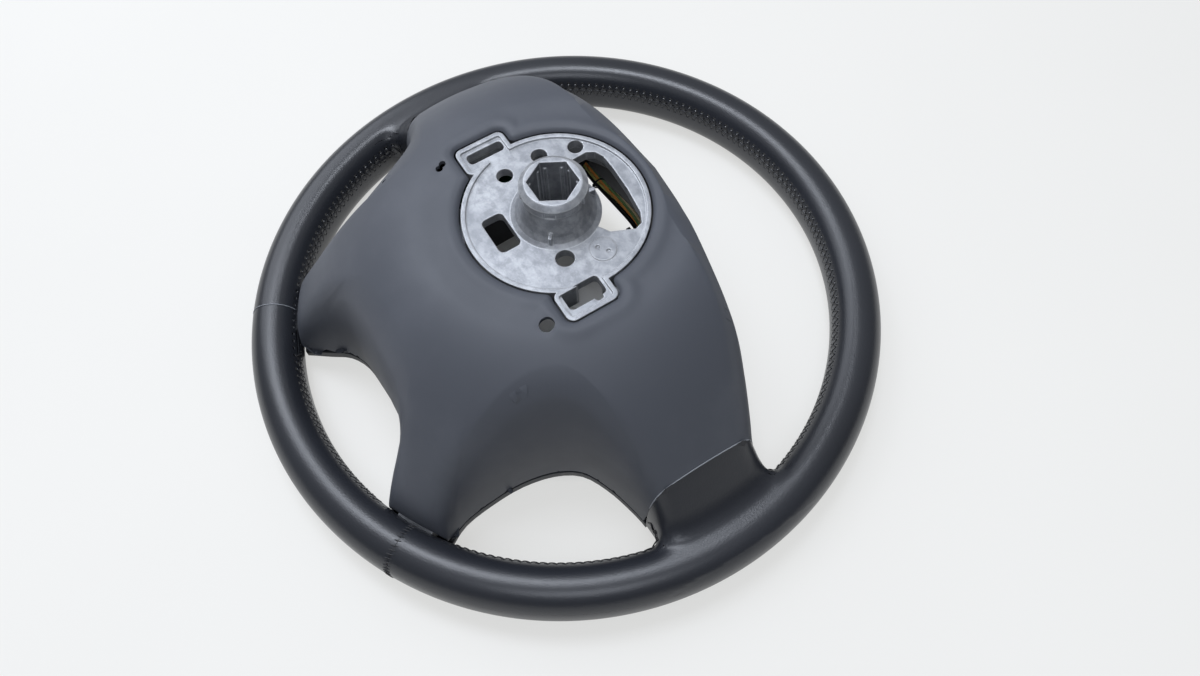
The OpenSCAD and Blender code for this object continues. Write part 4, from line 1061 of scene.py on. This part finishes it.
def cover_outline():
    """The cover's outline, all round, starting at 12 o'clock and running clockwise as seen from behind."""
    upper = UPPER_EDGE[UPPER_EDGE[:, 0] < JOINT_X]
    y_up = np.interp(JOINT_X, UPPER_EDGE[:, 0][:43], UPPER_EDGE[:, 1][:43])
    low = SIDE_LOW_EDGE[10:]
    low = low[(low[:, 0] < JOINT_X) & (np.hypot(low[:, 0], low[:, 1]) < COVER_END_R)]
    foot = FOOT_EDGE[(np.hypot(FOOT_EDGE[:, 0], FOOT_EDGE[:, 1]) < COVER_END_R) & (FOOT_EDGE[:, 0] > 0.01)]
    y_low = low[0, 1]
    joint = np.column_stack([np.full(30, JOINT_X), np.linspace(y_up, y_low, 30)])
    c, d = np.degrees(np.arctan2(low[-1, 1], low[-1, 0])), np.degrees(np.arctan2(foot[0, 1], foot[0, 0]))
    end = np.array([polar(COVER_END_R, a) for a in np.linspace(c, d, 20)])
    half = np.vstack([upper, joint, low, end, foot, [(0, -BODY_LOW_Y)]])
    return np.vstack([half, (half[1:-1] * (-1, 1))[::-1]])


def cover_edges(count):
    """Matching points of the hub's hole and of the outline, joined by lines that fan out evenly."""
    angle, hole_r = hub_hole()
    outline = cover_outline()
    out_angle = np.arctan2(outline[:, 1], outline[:, 0])
    order = np.argsort(out_angle)
    out_angle, out_r = out_angle[order], np.hypot(outline[:, 0], outline[:, 1])[order]
    wrap = 2 * np.pi
    out_angle3 = np.concatenate([out_angle - wrap, out_angle, out_angle + wrap])
    line_x = np.concatenate([(out_r * np.cos(out_angle))] * 3)
    line_y = np.concatenate([(out_r * np.sin(out_angle))] * 3)
    outer_x = np.interp(angle, out_angle3, line_x)
    outer_y = np.interp(angle, out_angle3, line_y)
    hole = np.column_stack([hole_r * np.cos(angle), hole_r * np.sin(angle)])
    outer = np.column_stack([outer_x, outer_y])
    closed_hole = np.vstack([hole, hole[:1]])
    closed_outer = np.vstack([outer, outer[:1]])
    pace = arc_lengths(closed_hole) + 0.6 * arc_lengths(closed_outer)
    turns = np.append(angle, angle[0] + wrap)
    at = np.interp(np.arange(count) / count * pace[-1], pace, turns)
    spread = 14
    weights = np.exp(-0.5 * (np.arange(-3 * spread, 3 * spread + 1) / spread) ** 2)
    long = np.concatenate([at[-3 * spread :] - wrap, at, at[: 3 * spread] + wrap])
    calm = np.convolve(long, weights / weights.sum(), mode="valid")
    inner = np.column_stack([np.interp(at, turns, closed_hole[:, k]) for k in range(2)])
    turned = np.concatenate([turns[:-1] - wrap, turns[:-1], turns[:-1] + wrap])
    outer_points = np.column_stack([np.interp(calm, turned, np.tile(outer[:, k], 3)) for k in range(2)])
    return inner, outer_points


class WHEEL_OT_front(Operator):
    """Open the passage for the wiring at the top of the front frame"""

    bl_idname = "wheel.front"
    bl_label = "Front Frame"

    def execute(self, context):
        """Copies the front frame and cuts out its strip at 12 o'clock, with the pocket's wall beside the window."""
        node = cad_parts["front_bezel"]
        mesh = node.data.copy()
        mesh.transform(node.matrix_world)
        shape = bmesh.new()
        shape.from_mesh(mesh)
        bmesh.ops.remove_doubles(shape, verts=shape.verts, dist=1e-6)
        shape.to_mesh(mesh)
        shape.free()
        colours = context.scene.wheel_colours
        mesh.materials.clear()
        mesh.materials.append(make_material("textured_abs", moulded_finish(colours.bezel, colours.bezel_rubbed, 0.5, 0.62)))
        piece = bpy.data.objects.new("front_frame", mesh)
        context.scene.collection.objects.link(piece)
        strip = [(-PASSAGE_X, PASSAGE_Y), (PASSAGE_X, PASSAGE_Y), (PASSAGE_X, 90), (-PASSAGE_X, 90)]
        wall = [(-PASSAGE_X, 43), (-11, 43), (-11, 90), (-PASSAGE_X, 90)]
        cut(piece, [prism(strip, 0, 50), prism(wall, 0, 50)], 40)
        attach(piece, WHEEL)
        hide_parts("front_bezel")
        return {"FINISHED"}


class WHEEL_OT_wiring(Operator):
    """Run the coloured wires and the taped trunk behind the hub's window"""

    bl_idname = "wheel.wiring"
    bl_label = "Wiring"

    def execute(self, context):
        """Tubes along the CAD routes: a taped trunk on each side and a twisted bundle of wires between them."""
        tape = make_material("polyester_cloth_tape", tape_finish)
        colours = context.scene.wheel_colours
        half = smooth_curve(TRUNK_ROUTE, 6)
        shape = Surface()
        shape.add(*tube(half, 4.0, 20))
        shape.add(*tube(smooth_curve(TRUNK_ROUTE[3:], 6) * (-1, 1, 1), 4.0, 20))
        branch = smooth_curve([(-63, 50.2, 50.6), (-45, 50.9, 50.6), (-24, 52.8, 50.6), (-8, 53.8, 50.6), (8.5, 52.4, 50.6)], 10)
        shape.add(*tube(branch, 1.4, 12))
        piece = shape.piece("taped_trunk", tape)
        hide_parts("harness_trunk")
        middle = smooth_curve(WIRE_ROUTE, 10)
        t = np.linspace(0, 1, len(middle))
        for k, (name, hex_colour) in enumerate(WIRES):
            turn = np.radians(60 * k + 170 * t * t * (3 - 2 * t))
            out = 0 if k == 0 else 1.65 + 0.12 * np.sin(5 * t + 2.1 * k)
            route = np.column_stack([middle[:, 0], middle[:, 1] + out * np.cos(turn), 51 + out * np.sin(turn)])
            shape = Surface()
            shape.add(*tube(route, 0.83, 10))
            material = make_material("pvc_insulation_" + name, insulation_finish(linear(hex_colour)))
            piece = shape.piece("wire_" + name, material)
            if k == 0:
                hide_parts("harness_wires")
        # A tie round the bare wires, and a clip on the pocket's wall round the trunk
        clips = Surface()
        turn = np.radians(np.linspace(8, 352, 40))
        for x, y, radius, low, high in ((-44, 52.2, 3.6, 50.0, 52.2), (44, 54.0, 4.5, 44.2, 53.0)):
            ring = np.column_stack([np.full(40, x), y - radius * np.cos(turn), 51 + radius * np.sin(turn)])
            clips.add(*tube(ring, 0.5, 8))
            clips.add(*tube([(x, y - radius, z) for z in np.linspace(low, high, 6)], 1.0, 12))
        nylon = moulded_finish(colours.plug, colours.plug_rubbed, 0.4, 0.5)
        piece = clips.piece("trunk_clips", make_material("moulded_nylon", nylon))
        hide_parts("harness_clips")
        return {"FINISHED"}


TRUNK_ROUTE = [
    (28, 54, 51), (38, 54, 51), (50, 54, 51), (60, 52, 51), (69, 48, 50), (77, 42, 48), (85, 36, 46), (92, 29, 44),
    (98, 22, 43), (102, 14, 42), (103, 8, 39), (103, 5.5, 34), (103, 5.5, 29.5),
]
WIRE_ROUTE = [(-63, 51.8), (-52, 52.3), (-38, 54.0), (-24, 56.2), (-10, 57.4), (0, 56.3), (8.5, 54.0)]
WIRES = (
    ("brown", "#a8734c"), ("orange", "#f7a558"), ("olive", "#c6c071"), ("yellow", "#faeaa0"), ("black", "#1b1b1d"),
    ("tan", "#f2dbb0"), ("green", "#7ea368"),
)


class WHEEL_OT_finishes(Operator):
    """Give the CAD parts that stay in view their materials"""

    bl_idname = "wheel.finishes"
    bl_label = "Part Finishes"

    def execute(self, context):
        """Fills each node's material slots with the finish of its kind."""
        colours = context.scene.wheel_colours
        finishes = {
            "die_cast_magnesium": (cast_finish, ("armature", "rim_core")),
            "polyurethane_foam": (foam_finish, ("rim_foam",)),
            "moulded_abs": (
                moulded_finish(colours.bezel, colours.bezel_rubbed, 0.5, 0.62),
                ("front_bezel", "switch_housing_left", "switch_housing_right", "rear_cover"),
            ),
            "painted_abs": (
                moulded_finish(colours.button, colours.button_rubbed, 0.35, 0.5),
                ("volume_rocker", "seek_rocker", "mode_button", "speed_rocker", "cruise_button", "cancel_button"),
            ),
            "glass_fibre_board": (board_finish, ("switch_board_left", "switch_board_right")),
            "zinc_plated_steel": (
                steel_finish,
                ("retaining_spring_left", "retaining_spring_right", "cover_screws", "bezel_screws", "board_screws"),
            ),
            "nylon_connector": (
                moulded_finish(colours.plug, colours.plug_rubbed, 0.4, 0.5),
                ("harness_plug_left", "harness_plug_right", "column_plug"),
            ),
        }
        for name, (finish, nodes) in finishes.items():
            material = make_material(name, finish)
            for node in nodes:
                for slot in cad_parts[node].material_slots:
                    slot.material = material
        return {"FINISHED"}


class WHEEL_OT_studio(Operator):
    """Set up the floor, the lamps, the surroundings and the camera"""

    bl_idname = "wheel.studio"
    bl_label = "Studio"

    def execute(self, context):
        """A pale floor under soft lamps, and the camera above the 4 o'clock side."""
        scene = context.scene
        studio = scene.wheel_studio
        floor_z = cad_box[0][2]
        mesh = bpy.data.meshes.new("floor")
        reach = 6.0
        mesh.from_pydata(
            [(-reach, -reach, floor_z), (reach, -reach, floor_z), (reach, reach, floor_z), (-reach, reach, floor_z)],
            [], [(0, 1, 2, 3)],
        )
        mesh.materials.append(make_material("painted_board", floor_finish))
        floor = bpy.data.objects.new("floor", mesh)
        scene.collection.objects.link(floor)

        for name, place, size, power in (
            ("main_lamp", (-0.4, 0.1, 1.7), 0.5, studio.key_power),
            ("side_lamp", (-1.15, -0.28, 0.92), 1.0, studio.side_power),
            ("high_lamp", (-0.7, -0.26, 1.4), 0.45, studio.high_power),
            ("fill_lamp", (0.6, -0.34, 1.12), 0.5, studio.fill_power),
        ):
            lamp = bpy.data.lights.new(name, "AREA")
            lamp.size = size
            lamp.energy = power
            lamp.color = linear("#eef4ff")[:3]
            holder = bpy.data.objects.new(name, lamp)
            holder.location = place
            holder.rotation_euler = (-Vector(place)).to_track_quat("-Z", "Y").to_euler()
            scene.collection.objects.link(holder)

        world = bpy.data.worlds.new("surroundings")
        world.use_nodes = True
        tree = world.node_tree
        tree.nodes.clear()
        path = add_node(tree, "LightPath")
        seen = add_node(
            tree, "Math", {0: path.outputs["Is Camera Ray"], 1: path.outputs["Is Transmission Ray"]}, operation="MAXIMUM"
        )
        place = add_node(tree, "TexCoord")
        towards = add_node(
            tree, "VectorMath", {0: place.outputs["Generated"], 1: (-0.5, 0.1, 0.86)}, operation="DOT_PRODUCT"
        )
        glow = add_node(
            tree, "MapRange",
            {
                "Value": towards.outputs["Value"], "From Min": -0.3, "From Max": 1.0,
                "To Min": studio.sky_low, "To Max": studio.sky_strength,
            },
        )
        light = add_node(tree, "Background", {"Color": linear("#f2f5fa"), "Strength": glow.outputs["Result"]})
        backdrop = add_node(tree, "Background", {"Color": linear("#f4f4f4"), "Strength": 1.0})
        mixed = add_node(
            tree, "MixShader", {0: seen.outputs[0], 1: light.outputs[0], 2: backdrop.outputs[0]}
        )
        add_node(tree, "OutputWorld", {"Surface": mixed.outputs[0]})
        scene.world = world

        camera = bpy.data.cameras.new("camera")
        camera.lens = studio.camera_focal
        camera.sensor_width = 36.0
        camera.clip_start = 0.01
        eye = Vector((0.2499, -0.1201, 0.5212))
        ahead = (Vector((0.0243, 0.0091, 0.0)) - eye).normalized()
        roll = math.radians(-2.478)
        level = ahead.cross(Vector((0, 0, 1))).normalized()
        rise = level.cross(ahead)
        right = level * math.cos(roll) + rise * math.sin(roll)
        up = rise * math.cos(roll) - level * math.sin(roll)
        holder = bpy.data.objects.new("camera", camera)
        holder.matrix_world = Matrix.Translation(eye) @ Matrix((right, up, -ahead)).transposed().to_4x4()
        scene.collection.objects.link(holder)
        scene.camera = holder
        scene.view_settings.view_transform = "Standard"
        return {"FINISHED"}


class WHEEL_PT_panel(Panel):
    """Lists the wheel's operators and settings"""

    bl_idname = "WHEEL_PT_panel"
    bl_label = "Steering Wheel"
    bl_space_type = "VIEW_3D"
    bl_region_type = "UI"
    bl_category = "Steering Wheel"

    def draw(self, context):
        """Shows a button for each operator, then the settings."""
        for operator in OPERATORS:
            self.layout.operator(operator.bl_idname)
        for name in ("wheel_colours", "wheel_lacing", "wheel_studio"):
            group = getattr(context.scene, name)
            for key in group.__annotations__:
                self.layout.prop(group, key)


GROUPS = {"wheel_colours": WheelColours, "wheel_lacing": LacingSettings, "wheel_studio": StudioSettings}
OPERATORS = (
    WHEEL_OT_studio, WHEEL_OT_finishes, WHEEL_OT_cover, WHEEL_OT_front, WHEEL_OT_leather, WHEEL_OT_lacing,
    WHEEL_OT_wiring,
)


def register():
    """Registers the settings, the operators and the panel."""
    for group in GROUPS.values():
        bpy.utils.register_class(group)
    for operator in OPERATORS:
        bpy.utils.register_class(operator)
    bpy.utils.register_class(WHEEL_PT_panel)
    for name, group in GROUPS.items():
        setattr(bpy.types.Scene, name, PointerProperty(type=group))


def unregister():
    """Removes what register added."""
    for name in GROUPS:
        delattr(bpy.types.Scene, name)
    bpy.utils.unregister_class(WHEEL_PT_panel)
    for operator in reversed(OPERATORS):
        bpy.utils.unregister_class(operator)
    for group in GROUPS.values():
        bpy.utils.unregister_class(group)


def main():
    """Builds the wheel and its studio."""
    register()
    bpy.ops.wheel.studio()
    bpy.ops.wheel.finishes()
    bpy.ops.wheel.cover()
    bpy.ops.wheel.front()
    bpy.ops.wheel.leather()
    bpy.ops.wheel.lacing()
    bpy.ops.wheel.wiring()


if __name__ == "__main__":
    main()
